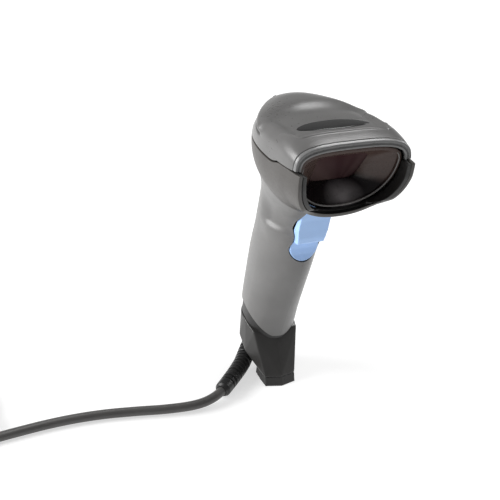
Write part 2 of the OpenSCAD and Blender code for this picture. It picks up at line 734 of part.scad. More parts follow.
module coil_tie() {
    band = [8, 0.6];
    reach_in = coil_r[0] - cord_d / 2;
    reach_out = coil_r[1] + cord_d / 2;
    mid = (reach_in + reach_out) / 2;
    long = reach_out - reach_in + 2 * band[1];
    high = 2 * cord_d + 2 * coil_base;
    color([0.08, 0.08, 0.08]) translate([coil_centre[0], coil_centre[1], 0]) rotate([0, 0, -35])
        difference() {
            bar([long, band[0], high], [mid, 0, high / 2]);
            bar([long - 2 * band[1], band[0] + 1, high - 2 * coil_base], [mid, 0, high / 2]);
        }
}

// The last stretch climbs from the coil's outer turn and crosses over it to the plug.
END_ROUTE = [
    [-235, 26, 8.2], [-234.6, 31.5, 8.8], [-232.8, 38, 10.2], [-229.4, 43.8, 11.9],
    [-224.6, 48.6, 13.2], [-218, 51.4, 13.8], [-211, 52, 14.6]
];
grip_size = [14.4, 21, 7.6];
grip_y = 9.9;
usb_y = grip_y + grip_size[1];
usb_size = [12, 12, 4.5];
usb_wall = 0.3;

module cord_end() {
    way = smooth_route(END_ROUTE, 3);
    color([0.25, 0.23, 0.24]) tube(way, [for (p = way) cord_d / 2], 10);
}

// The plug lies on the coil and points along +X. Its pieces are drawn pointing along +Y.
module at_plug() {
    translate(END_ROUTE[len(END_ROUTE) - 1]) rotate([0, 0, -90]) children();
}

module usb_overmould() {
    color([0.12, 0.12, 0.12]) at_plug() {
        translate([0, grip_y + 0.1, 0]) rotate([90, 0, 0])
            cylinder(h = grip_y + 0.1, r1 = 3.7, r2 = 3.1, $fn = 40);
        bar(grip_size, [0, grip_y + grip_size[1] / 2, 0]);
    }
}

module usb_shell() {
    color([0.8, 0.8, 0.82]) at_plug() difference() {
        bar(usb_size, [0, usb_y + usb_size[1] / 2, 0]);
        bar(usb_size - [2 * usb_wall, -1, 2 * usb_wall], [0, usb_y + usb_size[1] / 2 + 0.5, 0]);
        for (s = [-1, 1]) bar([2, 2.2, 8], [2.6 * s, usb_y + 6.5, 4]);
    }
}

module usb_insulator() {
    color([0.92, 0.92, 0.9]) at_plug() bar([11.4, 11.2, 1.7], [0, usb_y + 5.6, -1.1]);
}

top_cover();
indicator_lens();
window_bezel();
lower_shell();
nose_bumper();
optics_shroud();
scan_window();
window_gasket();
imager_chassis();
lens_barrel();
imager_lens();
image_sensor();
imager_board();
illumination_leds();
aiming_led();
indicator_board();
status_led();
flex_cable();
main_board();
processor_shield();
beeper();
trigger_switch();
switch_plunger();
trigger();
trigger_pin();
handle_left();
handle_right();
handle_screws();
base_ring();
base_boot();
sole_pad();
cable_socket();
socket_wires();
modular_plug();
strain_relief();
cord();
cord_coil();
cord_end();
coil_tie();
usb_overmould();
usb_insulator();
usb_shell();
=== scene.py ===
"""Handheld barcode scanner: the looks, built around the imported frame. Lengths are millimetres
unless a name says metres, and MM turns them into metres when a mesh is made."""
import math

import bmesh
import bpy
import numpy as np
from mathutils import Matrix, Vector


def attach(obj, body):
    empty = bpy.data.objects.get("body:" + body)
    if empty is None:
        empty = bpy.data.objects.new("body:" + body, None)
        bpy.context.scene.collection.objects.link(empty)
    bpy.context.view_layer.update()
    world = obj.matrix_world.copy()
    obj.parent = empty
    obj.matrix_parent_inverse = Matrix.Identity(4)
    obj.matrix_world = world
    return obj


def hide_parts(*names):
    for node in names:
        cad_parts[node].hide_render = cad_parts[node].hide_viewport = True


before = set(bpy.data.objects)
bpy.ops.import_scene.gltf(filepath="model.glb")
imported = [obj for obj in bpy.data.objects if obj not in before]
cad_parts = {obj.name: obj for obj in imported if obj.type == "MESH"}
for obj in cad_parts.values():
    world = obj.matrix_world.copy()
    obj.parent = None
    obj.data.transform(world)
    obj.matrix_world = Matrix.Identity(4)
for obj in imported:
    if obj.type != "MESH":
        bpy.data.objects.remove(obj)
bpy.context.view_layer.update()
MM = 0.001


def new_object(name, data):
    obj = bpy.data.objects.new(name, data)
    bpy.context.scene.collection.objects.link(obj)
    return obj


# ---- camera ----

CAMERA_TARGET = Vector((-0.030, -0.007, 0.0879))
CAMERA_AZIMUTH = -30.3
CAMERA_ELEVATION = 30.5
CAMERA_ROLL = 8.4
CAMERA_DISTANCE = 0.8
CAMERA_LENS = 115.06


def add_camera():
    azimuth, elevation, roll = (
        math.radians(a) for a in (CAMERA_AZIMUTH, CAMERA_ELEVATION, CAMERA_ROLL)
    )
    back = Vector((
        math.sin(azimuth) * math.cos(elevation),
        -math.cos(azimuth) * math.cos(elevation),
        math.sin(elevation),
    ))
    level = Vector((math.cos(azimuth), math.sin(azimuth), 0))
    upright = back.cross(level)
    right = level * math.cos(roll) + upright * math.sin(roll)
    up = upright * math.cos(roll) - level * math.sin(roll)
    data = bpy.data.cameras.new("camera")
    data.lens = CAMERA_LENS
    data.sensor_width = 36
    camera = new_object("camera", data)
    camera.matrix_world = Matrix((right, up, back)).transposed().to_4x4()
    camera.matrix_world.translation = CAMERA_TARGET + back * CAMERA_DISTANCE
    bpy.context.scene.camera = camera


# ---- curves and grids ----


def ease(t):
    c = np.clip(t, 0, 1)
    return c * c * (3 - 2 * c)


def sin(degrees):
    return np.sin(np.radians(degrees))


def cos(degrees):
    return np.cos(np.radians(degrees))


def curve(t, pairs):
    """A smooth curve through (place, value) pairs, level beyond its ends."""
    at, value = np.array(pairs, float).T
    index = np.arange(len(at))
    low = np.maximum(index - 1, 0)
    high = np.minimum(index + 1, len(at) - 1)
    slope = (value[high] - value[low]) / (at[high] - at[low])
    i = np.clip(np.searchsorted(at, t, side="right") - 1, 0, len(at) - 2)
    h = at[i + 1] - at[i]
    s = np.clip((t - at[i]) / h, 0, 1)
    start = (2 * s**3 - 3 * s**2 + 1) * value[i] + (s**3 - 2 * s**2 + s) * h * slope[i]
    end = (3 * s**2 - 2 * s**3) * value[i + 1] + (s**3 - s**2) * h * slope[i + 1]
    return start + end


def reach(angle, power):
    """Reach of a unit superellipse in the direction of angle."""
    return (np.abs(cos(angle)) ** power + np.abs(sin(angle)) ** power) ** (-1 / power)


def smooth_route(points, steps):
    """Catmull-Rom points along a route, steps to each stretch."""
    p = np.array(points, float)
    held = np.vstack([p[:1], p, p[-1:]])
    t = np.arange(steps)[:, None] / steps
    rows = []
    for a, b, c, d in zip(held, held[1:], held[2:], held[3:]):
        cubic = t**3 * (3 * b - a - 3 * c + d)
        rows.append(0.5 * (2 * b + t * (c - a) + t**2 * (2 * a - 5 * b + 4 * c - d) + cubic))
    return np.vstack(rows + [p[-1:]])


def quads(rows, cols, loop, base=0):
    i, j = np.meshgrid(np.arange(rows - 1), np.arange(cols if loop else cols - 1), indexing="ij")
    a = base + i * cols + j
    b = base + i * cols + (j + 1) % cols
    return np.stack([a, b, b + cols, a + cols], -1).reshape(-1, 4).tolist()


def wall(outer, inner, loop=False):
    """Points and faces of a closed wall between two grids. loop joins the ends of each row."""
    rows, cols = outer.shape[:2]
    n = rows * cols
    faces = quads(rows, cols, loop) + quads(rows, cols, loop, n)
    first = list(range(cols))
    last = [n - cols + i for i in first]
    edges = [first + first[:1], last + last[:1]] if loop else [first, last]
    if not loop:
        edges += [[i * cols for i in range(rows)], [i * cols + cols - 1 for i in range(rows)]]
    for edge in edges:
        faces += [[a, b, b + n, a + n] for a, b in zip(edge, edge[1:])]
    return np.vstack([outer.reshape(-1, 3), inner.reshape(-1, 3)]), faces


def loft(rings):
    """Points and faces of a closed solid through rings, with flat ends."""
    rows, cols = rings.shape[:2]
    faces = quads(rows, cols, True)
    faces += [list(range(cols)), list(range((rows - 1) * cols, rows * cols))]
    return rings.reshape(-1, 3), faces


def ring_solid(rings):
    """Points and faces of a solid whose rings close on themselves both ways."""
    rows, cols = rings.shape[:2]
    faces = [[i % (rows * cols) for i in face] for face in quads(rows + 1, cols, True)]
    return rings.reshape(-1, 3), faces


def sweep(path, radii, sides):
    """Rings along a path, turned as little as the path allows."""
    path = np.array(path, float)
    ahead = np.roll(path, -1, 0)
    behind = np.roll(path, 1, 0)
    ahead[-1] = path[-1]
    behind[0] = path[0]
    heading = ahead - behind
    heading /= np.linalg.norm(heading, axis=1)[:, None]
    side = np.array([0.0, 0.6, 0.8])
    turn = np.radians(360 * np.arange(sides) / sides)[:, None]
    rings = []
    for point, along, radius in zip(path, heading, radii):
        side = side - along * side.dot(along)
        side /= np.linalg.norm(side)
        across = np.cross(along, side)
        rings.append(point + radius * (np.cos(turn) * side + np.sin(turn) * across))
    return np.array(rings)


def outward_normals(grid, middle):
    """Unit normals of a grid of points, pointing away from middle."""
    normal = np.cross(np.gradient(grid, axis=0), np.gradient(grid, axis=1))
    length = np.linalg.norm(normal, axis=2)[..., None]
    normal = normal / np.maximum(length, 1e-9)
    return normal * np.sign((normal * (grid - np.array(middle))).sum(-1))[..., None]


# ---- pieces ----


def add_mesh(name, points, faces):
    """A mesh object from points in millimetres, its faces turned outwards."""
    mesh = bpy.data.meshes.new(name)
    mesh.from_pydata((np.asarray(points) * MM).tolist(), [], faces)
    build = bmesh.new()
    build.from_mesh(mesh)
    bmesh.ops.remove_doubles(build, verts=build.verts, dist=2e-6)
    bmesh.ops.recalc_face_normals(build, faces=build.faces)
    build.to_mesh(mesh)
    build.free()
    return new_object(name, mesh)


def add_box(name, size, centre):
    corners = [(x, y, z) for x in (-1, 1) for y in (-1, 1) for z in (-1, 1)]
    points = np.array(corners) * np.array(size) / 2 + np.array(centre)
    faces = [(0, 1, 3, 2), (4, 6, 7, 5), (0, 4, 5, 1), (2, 3, 7, 6), (0, 2, 6, 4), (1, 5, 7, 3)]
    return add_mesh(name, points, faces)


ROD_SIDES = 48


def add_rod(name, radius, start, end):
    """A round rod between two points."""
    return add_mesh(name, *loft(sweep([start, end], [radius, radius], ROD_SIDES)))


def add_prism(name, outline, axis, low, high):
    """An outline pushed through from low to high along axis. It gives the other two coordinates."""
    ends = [np.insert(np.array(outline, float), axis, at, axis=1) for at in (low, high)]
    return add_mesh(name, *loft(np.array(ends)))


def add_hull(name, points):
    mesh = bpy.data.meshes.new(name)
    build = bmesh.new()
    for point in points:
        build.verts.new([c * MM for c in point])
    hull = bmesh.ops.convex_hull(build, input=build.verts)
    spare = hull["geom_interior"] + hull["geom_unused"]
    spare = {v for v in spare if isinstance(v, bmesh.types.BMVert)}
    bmesh.ops.delete(build, geom=list(spare), context="VERTS")
    bmesh.ops.recalc_face_normals(build, faces=build.faces)
    build.to_mesh(mesh)
    build.free()
    return new_object(name, mesh)


def settle(obj):
    """Turn an object's modifiers into its mesh."""
    graph = bpy.context.evaluated_depsgraph_get()
    mesh = bpy.data.meshes.new_from_object(obj.evaluated_get(graph))
    obj.modifiers.clear()
    obj.data = mesh
    return obj


def combine(obj, others, operation):
    """Join other objects to a piece or cut them from it, and use them up."""
    for other in others:
        change = obj.modifiers.new("combine", "BOOLEAN")
        change.object = other
        change.operation = operation
        change.solver = "EXACT"
    settle(obj)
    for other in others:
        bpy.data.objects.remove(other)
    return obj


def round_edges(obj, width, angle=35):
    change = obj.modifiers.new("round", "BEVEL")
    change.width = width * MM
    change.segments = 3
    change.limit_method = "ANGLE"
    change.angle_limit = math.radians(angle)
    change.use_clamp_overlap = False
    return settle(obj)


def soften(obj, voxel, passes):
    """Rebuild a piece as an even, dense mesh with rounded edges."""
    change = obj.modifiers.new("remesh", "REMESH")
    change.mode = "VOXEL"
    change.voxel_size = voxel * MM
    change = obj.modifiers.new("smooth", "SMOOTH")
    change.factor = 0.5
    change.iterations = passes
    return settle(obj)


def finish_piece(obj, material, nodes=(), body="root", sharp=32):
    """Give a piece its material, smooth shading and body, and hide the CAD nodes it replaces."""
    if obj.type == "MESH":
        obj.data.polygons.foreach_set("use_smooth", [True] * len(obj.data.polygons))
        obj.data.set_sharp_from_angle(angle=math.radians(sharp))
    obj.data.materials.clear()
    obj.data.materials.append(material)
    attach(obj, body)
    if nodes:
        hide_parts(*nodes)
    return obj


# ---- materials ----


def grey(level, warm=0.0):
    """A colour from a display level of 0 to 255, a little warmer or cooler."""
    linear = (level / 255) ** 2.2
    return (linear * (1 + warm), linear, linear * (1 - warm), 1)


def shade(colour, gain, lift=0.0):
    """A lighter or darker version of a colour."""
    return tuple(c * gain + lift for c in colour[:3]) + (1,)


class Nodes:
    """A material's node tree, with short calls for what the finishes share."""

    def __init__(self, name):
        self.material = bpy.data.materials.new(name)
        self.material.use_nodes = True
        self.tree = self.material.node_tree
        self.shader = self.tree.nodes["Principled BSDF"]

    def add(self, kind, inputs=None, **settings):
        node = self.tree.nodes.new(kind)
        for key, value in settings.items():
            setattr(node, key, value)
        for key, value in (inputs or {}).items():
            self.feed(node, key, value)
        return node

    def feed(self, node, key, value):
        if isinstance(value, bpy.types.NodeSocket):
            self.tree.links.new(value, node.inputs[key])
        else:
            node.inputs[key].default_value = value

    def place(self, stretch=(1, 1, 1)):
        """Coordinates fixed to the object, stretched along its axes."""
        where = self.add("ShaderNodeTexCoord").outputs["Object"]
        if tuple(stretch) == (1, 1, 1):
            return where
        return self.add("ShaderNodeMapping", {"Vector": where, "Scale": stretch}).outputs["Vector"]

    def noise(self, where, size, detail=3.0):
        """Noise whose blotches are about size metres across."""
        inputs = {"Vector": where, "Scale": 1 / size, "Detail": detail}
        return self.add("ShaderNodeTexNoise", inputs).outputs["Fac"]

    def span(self, value, low, high, to_low, to_high):
        inputs = {0: value, 1: low, 2: high, 3: to_low, 4: to_high}
        return self.add("ShaderNodeMapRange", inputs).outputs[0]

    def maths(self, operation, a, b=0.0):
        return self.add("ShaderNodeMath", {0: a, 1: b}, operation=operation).outputs[0]

    def mix(self, factor, a, b):
        node = self.add("ShaderNodeMix", data_type="RGBA")
        self.feed(node, 0, factor)
        self.feed(node, 6, a)
        self.feed(node, 7, b)
        return node.outputs[2]

    def bump(self, height, depth):
        """A normal from a height, depth being the height's size in metres."""
        inputs = {"Height": height, "Strength": 1.0, "Distance": depth}
        return self.add("ShaderNodeBump", inputs).outputs["Normal"]

    def surface(self, tone, gloss, **others):
        """Feed the shader. The names in others have _ where the socket's name has a space."""
        for key, value in {"Base_Color": tone, "Roughness": gloss, **others}.items():
            self.feed(self.shader, key.replace("_", " "), value)
        return self.material


def moulded(name, colour, roughness, grain=0.00045, depth=0.00002, wear=0.25, mottle=0.1):
    """Moulded plastic or rubber: spark grain, uneven gloss, faint mottling and rubbed edges."""
    n = Nodes(name)
    where = n.place()
    fine = n.noise(where, grain, 2)
    broad = n.noise(where, 0.018, 4)
    specks = n.noise(where, 0.0016, 3)
    dark = shade(colour, 1 - mottle)
    light = shade(colour, 1 + mottle)
    worn = shade(colour, 1.5, 0.02)
    tone = n.mix(n.span(broad, 0.3, 0.7, 0, 1), dark, light)
    tone = n.mix(n.span(fine, 0.35, 0.65, 0, 0.25), tone, dark)
    edge = n.span(n.add("ShaderNodeNewGeometry").outputs["Pointiness"], 0.52, 0.6, 0, wear)
    rubbed = n.maths("MULTIPLY", edge, n.span(specks, 0.35, 0.6, 0.2, 1))
    tone = n.mix(rubbed, tone, worn)
    gloss = n.span(n.maths("ADD", broad, specks), 0.6, 1.4, roughness - 0.05, roughness + 0.07)
    gloss = n.maths("SUBTRACT", gloss, n.maths("MULTIPLY", rubbed, 0.15))
    return n.surface(tone, gloss, Normal=n.bump(fine, depth))


def metal(name, colour, roughness, stretch):
    """Drawn or brushed metal: fine lines one way and smudges."""
    n = Nodes(name)
    lines = n.noise(n.place(stretch), 0.0008, 3)
    smudge = n.noise(n.place(), 0.004, 4)
    dull = shade(colour, 0.72)
    tone = n.mix(n.span(smudge, 0.35, 0.7, 0, 1), colour, dull)
    gloss = n.span(n.maths("ADD", lines, smudge), 0.6, 1.4, roughness - 0.06, roughness + 0.1)
    return n.surface(tone, gloss, Normal=n.bump(lines, 0.000006), Metallic=1.0)


def circuit(name, colour):
    """A circuit board: solder mask over faint tracks, with tinned pads."""
    n = Nodes(name)
    where = n.place()
    cells = n.add("ShaderNodeTexVoronoi", {"Vector": where, "Scale": 420.0}, distance="CHEBYCHEV")
    tracks = n.add("ShaderNodeTexBrick", {"Vector": n.place((1, 1.3, 0.8)), "Scale": 260.0})
    light = shade(colour, 1.8, 0.01)
    tone = n.mix(n.span(tracks.outputs["Fac"], 0, 1, 0, 0.8), colour, light)
    pad = n.span(cells.outputs["Distance"], 0.1, 0.16, 1, 0)
    tone = n.mix(pad, tone, (0.55, 0.53, 0.48, 1))
    gloss = n.span(n.noise(where, 0.003), 0.3, 0.7, 0.28, 0.42)
    return n.surface(tone, gloss, Normal=n.bump(tracks.outputs["Fac"], 0.00002))


def clear(name, colour, roughness, transmission, ior=1.5):
    """Clear or tinted moulding with flow marks and light scuffs."""
    n = Nodes(name)
    where = n.place()
    flow = n.noise(where, 0.006, 2)
    scuffs = n.noise(n.place((1, 6, 1)), 0.0012, 4)
    deep = shade(colour, 0.8)
    tone = n.mix(n.span(flow, 0.3, 0.7, 0, 1), colour, deep)
    gloss = n.span(scuffs, 0.45, 0.75, roughness, roughness + 0.1)
    normal = n.bump(flow, 0.00002)
    return n.surface(tone, gloss, Normal=normal, IOR=ior, Transmission_Weight=transmission)


def window_finish():
    """The scan window: near-black red with soft lighter streaks that fan out from behind it, a painted
    reflection.
    """
    n = Nodes("window_red")
    where = n.place()
    parts = n.add("ShaderNodeSeparateXYZ", {0: where})
    across = n.maths("SUBTRACT", parts.outputs[0], 0.006)
    up = n.maths("SUBTRACT", parts.outputs[2], 0.128)
    bearing = n.maths("ARCTAN2", across, up)
    fan = n.add("ShaderNodeCombineXYZ", {0: bearing, 1: 0.3, 2: 0.7}).outputs[0]
    # painted reflection: lighter streaks fanning across the pane
    painted_reflection_streaks = n.noise(fan, 0.55, 0.5)
    lit = n.span(painted_reflection_streaks, 0.3, 0.7, 0, 1)
    tone = n.mix(lit, (0.045, 0.022, 0.024, 1), (0.12, 0.08, 0.075, 1))
    gloss = n.span(n.noise(where, 0.004, 4), 0.4, 0.75, 0.04, 0.12)
    normal = n.bump(n.noise(where, 0.02, 1), 0.00001)
    return n.surface(tone, gloss, Normal=normal, Specular_IOR_Level=0.25)


def funnel_finish():
    """The glossy funnel: dusky red walls above, and a painted reflection, a soft light patch with smoky
    edges, on its black floor.
    """
    n = Nodes("shroud_black")
    where = n.place()
    parts = n.add("ShaderNodeSeparateXYZ", {0: where})
    smoke = n.noise(n.place((1, 1, 2)), 0.012, 2)
    height = n.maths("ADD", parts.outputs[2], n.maths("MULTIPLY", smoke, 0.003))
    upper = n.span(height, 0.1355, 0.1395, 0, 1)
    tone = n.mix(upper, (0.006, 0.004, 0.005, 1), (0.07, 0.045, 0.038, 1))
    # painted reflection: a soft light patch on the funnel's black floor
    near = n.add("ShaderNodeVectorMath", {0: where, 1: (0.004, -0.03, 0.127)}, operation="DISTANCE")
    painted_reflection_patch = n.maths("MULTIPLY", n.span(near.outputs["Value"], 0.002, 0.011, 1, 0), smoke)
    tone = n.mix(painted_reflection_patch, tone, (0.42, 0.39, 0.4, 1))
    gloss = n.span(n.noise(where, 0.004, 3), 0.35, 0.7, 0.24, 0.34)
    return n.surface(tone, gloss, Normal=n.bump(smoke, 0.00002), Specular_IOR_Level=0.3)


def woven(name, colour):
    """A hook and loop strap: a fine over-and-under weave."""
    n = Nodes(name)
    first = n.add("ShaderNodeTexWave", {"Vector": n.place(), "Scale": 500.0, "Distortion": 1.0})
    second = n.add("ShaderNodeTexWave", {"Vector": n.place(), "Scale": 500.0, "Distortion": 1.0},
                   bands_direction="Z")
    weave = n.maths("MAXIMUM", first.outputs["Fac"], second.outputs["Fac"])
    tone = n.mix(weave, colour, shade(colour, 2.2, 0.01))
    gloss = n.span(weave, 0, 1, 0.95, 0.75)
    return n.surface(tone, gloss, Normal=n.bump(weave, 0.0001), Sheen_Weight=0.3)


def make_materials():
    return {
        "housing_grey": moulded("housing_grey", grey(97, 0.015), 0.3),
        "handle_grey": moulded("handle_grey", grey(108, 0.015), 0.36, grain=0.0005),
        "collar_grey": moulded("collar_grey", grey(68, 0.08), 0.42),
        "bezel_grey": moulded("bezel_grey", grey(118), 0.28, depth=0.000012),
        "bumper_rubber": moulded("bumper_rubber", grey(40, 0.02), 0.5, grain=0.0006),
        "shroud_black": funnel_finish(),
        # the bead's pale grey is a painted highlight along the shroud's rim
        "rim_painted_highlight": moulded("rim_painted_highlight", grey(112, 0.03), 0.25, depth=0.000006),
        "window_red": window_finish(),
        "lens_black": moulded("lens_black", grey(44), 0.16, depth=0.000003, wear=0.05),
        "trigger_blue": moulded("trigger_blue", (0.38, 0.58, 0.94, 1), 0.36, grain=0.0005,
                                depth=0.000014, wear=0.1, mottle=0.05),
        "boot_charcoal": moulded("boot_charcoal", grey(56, 0.03), 0.34, grain=0.0006),
        # the band's charcoal, darker than the boot's, is partly painted shade for the recess it sits in
        "band_charcoal": moulded("band_charcoal", grey(44, 0.02), 0.45),
        "sole_rubber": moulded("sole_rubber", grey(52, 0.03), 0.6, grain=0.0008, depth=0.00005),
        "cord_jacket": moulded("cord_jacket", grey(82, 0.03), 0.42, grain=0.0006),
        "relief_black": moulded("relief_black", grey(34), 0.42, grain=0.0006),
        "chassis_black": moulded("chassis_black", grey(45), 0.5),
        "board_green": circuit("board_green", (0.012, 0.09, 0.035, 1)),
        "optical_glass": clear("optical_glass", (0.8, 0.88, 0.92, 1), 0.02, 0.9, 1.6),
        "sensor_dark": clear("sensor_dark", (0.03, 0.035, 0.06, 1), 0.05, 0.0),
        "led_clear": clear("led_clear", (0.9, 0.88, 0.8, 1), 0.06, 0.7),
        "led_red": clear("led_red", (0.75, 0.05, 0.04, 1), 0.06, 0.5),
        "flex_amber": clear("flex_amber", (0.5, 0.24, 0.05, 1), 0.25, 0.2),
        "shield_tin": metal("shield_tin", (0.62, 0.62, 0.6, 1), 0.38, (1, 1, 12)),
        "switch_black": moulded("switch_black", grey(40), 0.45),
        "plunger_red": moulded("plunger_red", (0.45, 0.05, 0.035, 1), 0.4),
        "pin_steel": metal("pin_steel", (0.6, 0.6, 0.62, 1), 0.28, (1, 14, 14)),
        "plug_clear": clear("plug_clear", (0.85, 0.86, 0.84, 1), 0.08, 0.6),
        "wire_red": moulded("wire_red", (0.5, 0.03, 0.03, 1), 0.4),
        "usb_steel": metal("usb_steel", (0.66, 0.66, 0.68, 1), 0.24, (14, 1, 14)),
        "usb_white": moulded("usb_white", grey(225), 0.45, wear=0.0),
        "contact_gold": metal("contact_gold", (0.83, 0.6, 0.25, 1), 0.25, (10, 1, 10)),
        "tie_strap": woven("tie_strap", grey(36)),
    }


# ---- the cord ----

# The cord's way, in metres: out of the port, down to the floor and off to the side.
ROUTE = [
    (0, 0.022, 0.025), (0, 0.0225, 0.018), (-0.002, 0.0225, 0.0125), (-0.006, 0.0195, 0.008),
    (-0.011, 0.014, 0.006), (-0.017, 0.007, 0.0054), (-0.027, -0.0025, 0.0052),
    (-0.037, -0.011, 0.0046), (-0.046, -0.015, 0.0036), (-0.056, -0.016, 0.0029),
    (-0.07, -0.0145, 0.0025), (-0.086, -0.0118, 0.0025), (-0.102, -0.0096, 0.0025),
    (-0.118, -0.0088, 0.0025), (-0.134, -0.0094, 0.0025), (-0.15, -0.011, 0.0025),
    (-0.165, -0.0128, 0.0026), (-0.18, -0.0138, 0.0029), (-0.195, -0.014, 0.0032),
]
# The last stretch, in metres: up from the coil's outer turn and over it to the plug.
END_ROUTE = [
    (-0.235, 0.026, 0.0082), (-0.2346, 0.0315, 0.0088), (-0.2328, 0.038, 0.0102),
    (-0.2294, 0.0438, 0.0119), (-0.2246, 0.0486, 0.0132), (-0.218, 0.0514, 0.0138),
    (-0.211, 0.052, 0.0146),
]
RELIEF_POINTS = 8
CORD_RADIUS = 0.0025
COIL_CENTRE = (-0.195, 0.026)
COIL_RADII = (0.015, 0.04)
COIL_LAYERS = (0.0032, 0.0082)


def coil_points():
    """Inwards in the lower layer, up at the middle, and outwards in the upper layer."""
    inner, outer = COIL_RADII
    inward = 5 * 360
    climb = 180
    across, along = np.subtract(END_ROUTE[0][:2], COIL_CENTRE)
    leave = np.degrees(np.arctan2(along, across))
    outward = 4 * 360 + (90 - leave) % 360
    turned = np.linspace(0, inward + climb + outward, 560)
    radius = outer - (outer - inner) * np.clip(turned / inward, 0, 1)
    radius += (outer - inner) * np.clip((turned - inward - climb) / outward, 0, 1)
    height = COIL_LAYERS[0] + (COIL_LAYERS[1] - COIL_LAYERS[0]) * ease((turned - inward) / climb)
    angle = -90 - turned
    x = COIL_CENTRE[0] + radius * cos(angle)
    y = COIL_CENTRE[1] + radius * sin(angle)
    return np.stack([x, y, height], 1)


def add_cord(material):
    way = np.vstack([smooth_route(ROUTE, 8)[:-1], coil_points(), smooth_route(END_ROUTE, 8)[1:]])
    data = bpy.data.curves.new("lead", "CURVE")
    data.dimensions = "3D"
    data.bevel_depth = CORD_RADIUS
    data.bevel_resolution = 6
    data.use_fill_caps = True
    spline = data.splines.new("POLY")
    spline.points.add(len(way) - 1)
    spline.points.foreach_set("co", np.column_stack([way, np.ones(len(way))]).ravel())
    spline.use_smooth = True
    nodes = ("cord", "cord_coil", "cord_end")
    return finish_piece(new_object("lead", data), material, nodes)


def add_relief(material):
    """The ribbed sleeve: flat-topped rings with slots between them, thinning along its length."""
    way = smooth_route(ROUTE[:RELIEF_POINTS], 40) / MM
    run = np.concatenate([[0], np.cumsum(np.linalg.norm(np.diff(way, axis=0), axis=1))])
    pitch = 3.0
    phase = (run / pitch) % 1
    outer = 5.0 - 0.8 * run / run[-1]
    slot = ease((phase - 0.56) / 0.1) * ease((0.96 - phase) / 0.1)
    ribbed = ease((run - 11) / 1.5) * ease((run[-1] - 5 - run) / 1.5)
    radii = outer - 1.35 * slot * ribbed
    radii -= 1.1 * ease((run - run[-1] + 2.2) / 2.2)
    sleeve = add_mesh("relief_sleeve", *loft(sweep(way, radii, 40)))
    return finish_piece(sleeve, material, ("strain_relief",))


def add_tie(material):
    """A strap round the coil's turns."""
    inner = COIL_RADII[0] / MM - 2.5
    outer = COIL_RADII[1] / MM + 2.5
    corners = [(inner, 0.3), (outer, 0.3), (outer, 11.1), (inner, 11.1)]
    path = []
    for (x, z), start in zip(corners, (180, 270, 0, 90)):
        bend = 1.4
        inward_x = bend if x == inner else -bend
        inward_z = bend if z < 5 else -bend
        for turn in np.linspace(start, start + 90, 9):
            path.append((x + inward_x + bend * cos(turn), z + inward_z + bend * sin(turn)))
    path = np.array(path)
    middle = path.mean(0)
    outward = path - middle
    outward /= np.linalg.norm(outward, axis=1)[:, None]
    rings = []
    for side, push in ((-4, -0.3), (-3.8, 0.3), (3.8, 0.3), (4, -0.3)):
        ring = path + outward * push
        rings.append(np.stack([ring[:, 0], np.full(len(ring), float(side)), ring[:, 1]], 1))
    tilt = -35
    turn = np.array([[cos(tilt), -sin(tilt), 0], [sin(tilt), cos(tilt), 0], [0, 0, 1]])
    place = np.array([COIL_CENTRE[0] / MM, COIL_CENTRE[1] / MM, 0])
    rings = np.array(rings) @ turn.T + place
    tie = add_mesh("tie_band", *ring_solid(rings))
    return finish_piece(tie, material, ("coil_tie",))


def section(half_wide, half_high, power, y, sides):
    """A rounded section across Y."""
    angle = 360 * np.arange(sides) / sides
    r = reach(angle, power)
    x = half_wide * r * cos(angle)
    z = half_high * r * sin(angle)
    return np.stack([x, np.full(sides, float(y)), z], 1)


def at_plug(obj):
    """Turn a piece drawn along +Y to lie on the coil, pointing along +X from the cord's end."""
    obj.data.transform(Matrix.Translation(END_ROUTE[-1]) @ Matrix.Rotation(math.radians(-90), 4, "Z"))
    return obj


GRIP_END = 30.9
SHELL_LONG = 12.0


def add_plug(materials):
    """The lead's far end: a soft grip with finger ridges, a folded steel shell and its tongue."""
    places = np.linspace(0, GRIP_END, 90)
    wide = curve(places, [(0, 3.1), (8, 3.8), (11.5, 6.4), (14, 7.2), (28, 7.2), (GRIP_END, 6.9)])
    high = curve(places, [(0, 3.1), (8, 3.7), (14, 3.8), (GRIP_END, 3.7)])
    power = curve(places, [(0, 2), (8, 2.2), (14, 6), (GRIP_END, 6)])
    ridges = 0.45 * np.maximum(0, sin(360 * (places - 16) / 3.2)) * ((places > 16) & (places < 25.6))
    rings = [section(w - r, h, n, y, 64) for y, w, h, n, r in zip(places, wide, high, power, ridges)]
    grip = at_plug(round_edges(add_mesh("plug_grip", *loft(np.array(rings))), 0.35))
    finish_piece(grip, materials["relief_black"], ("usb_overmould",))
    ends = (GRIP_END, GRIP_END + SHELL_LONG)
    outer = np.array([section(6, 2.25, 12, y, 96) for y in ends])
    inner = np.array([section(5.7, 1.95, 12, y, 96) for y in ends])
    shell = add_mesh("plug_shell", *wall(outer, inner, loop=True))
    holes = [add_box("hole", (2, 2.2, 8), (2.6 * s, GRIP_END + 6.5, 4)) for s in (-1, 1)]
    at_plug(combine(shell, holes, "DIFFERENCE"))
    finish_piece(shell, materials["usb_steel"], ("usb_shell",))
    tongue = add_box("plug_tongue", (11.4, 11.2, 1.7), (0, GRIP_END + 5.6, -1.1))
    at_plug(round_edges(tongue, 0.2))
    finish_piece(tongue, materials["usb_white"], ("usb_insulator",))
    contacts = []
    for k in range(4):
        middle = ((k - 1.5) * 2.3, GRIP_END + 6.2, -0.22)
        contact = add_box("plug_contact_%d" % k, (1.1, 8.5, 0.12), middle)
        at_plug(round_edges(contact, 0.04))
        contacts.append(finish_piece(contact, materials["contact_gold"]))
    return [grip, shell, tongue] + contacts


# ---- the head ----

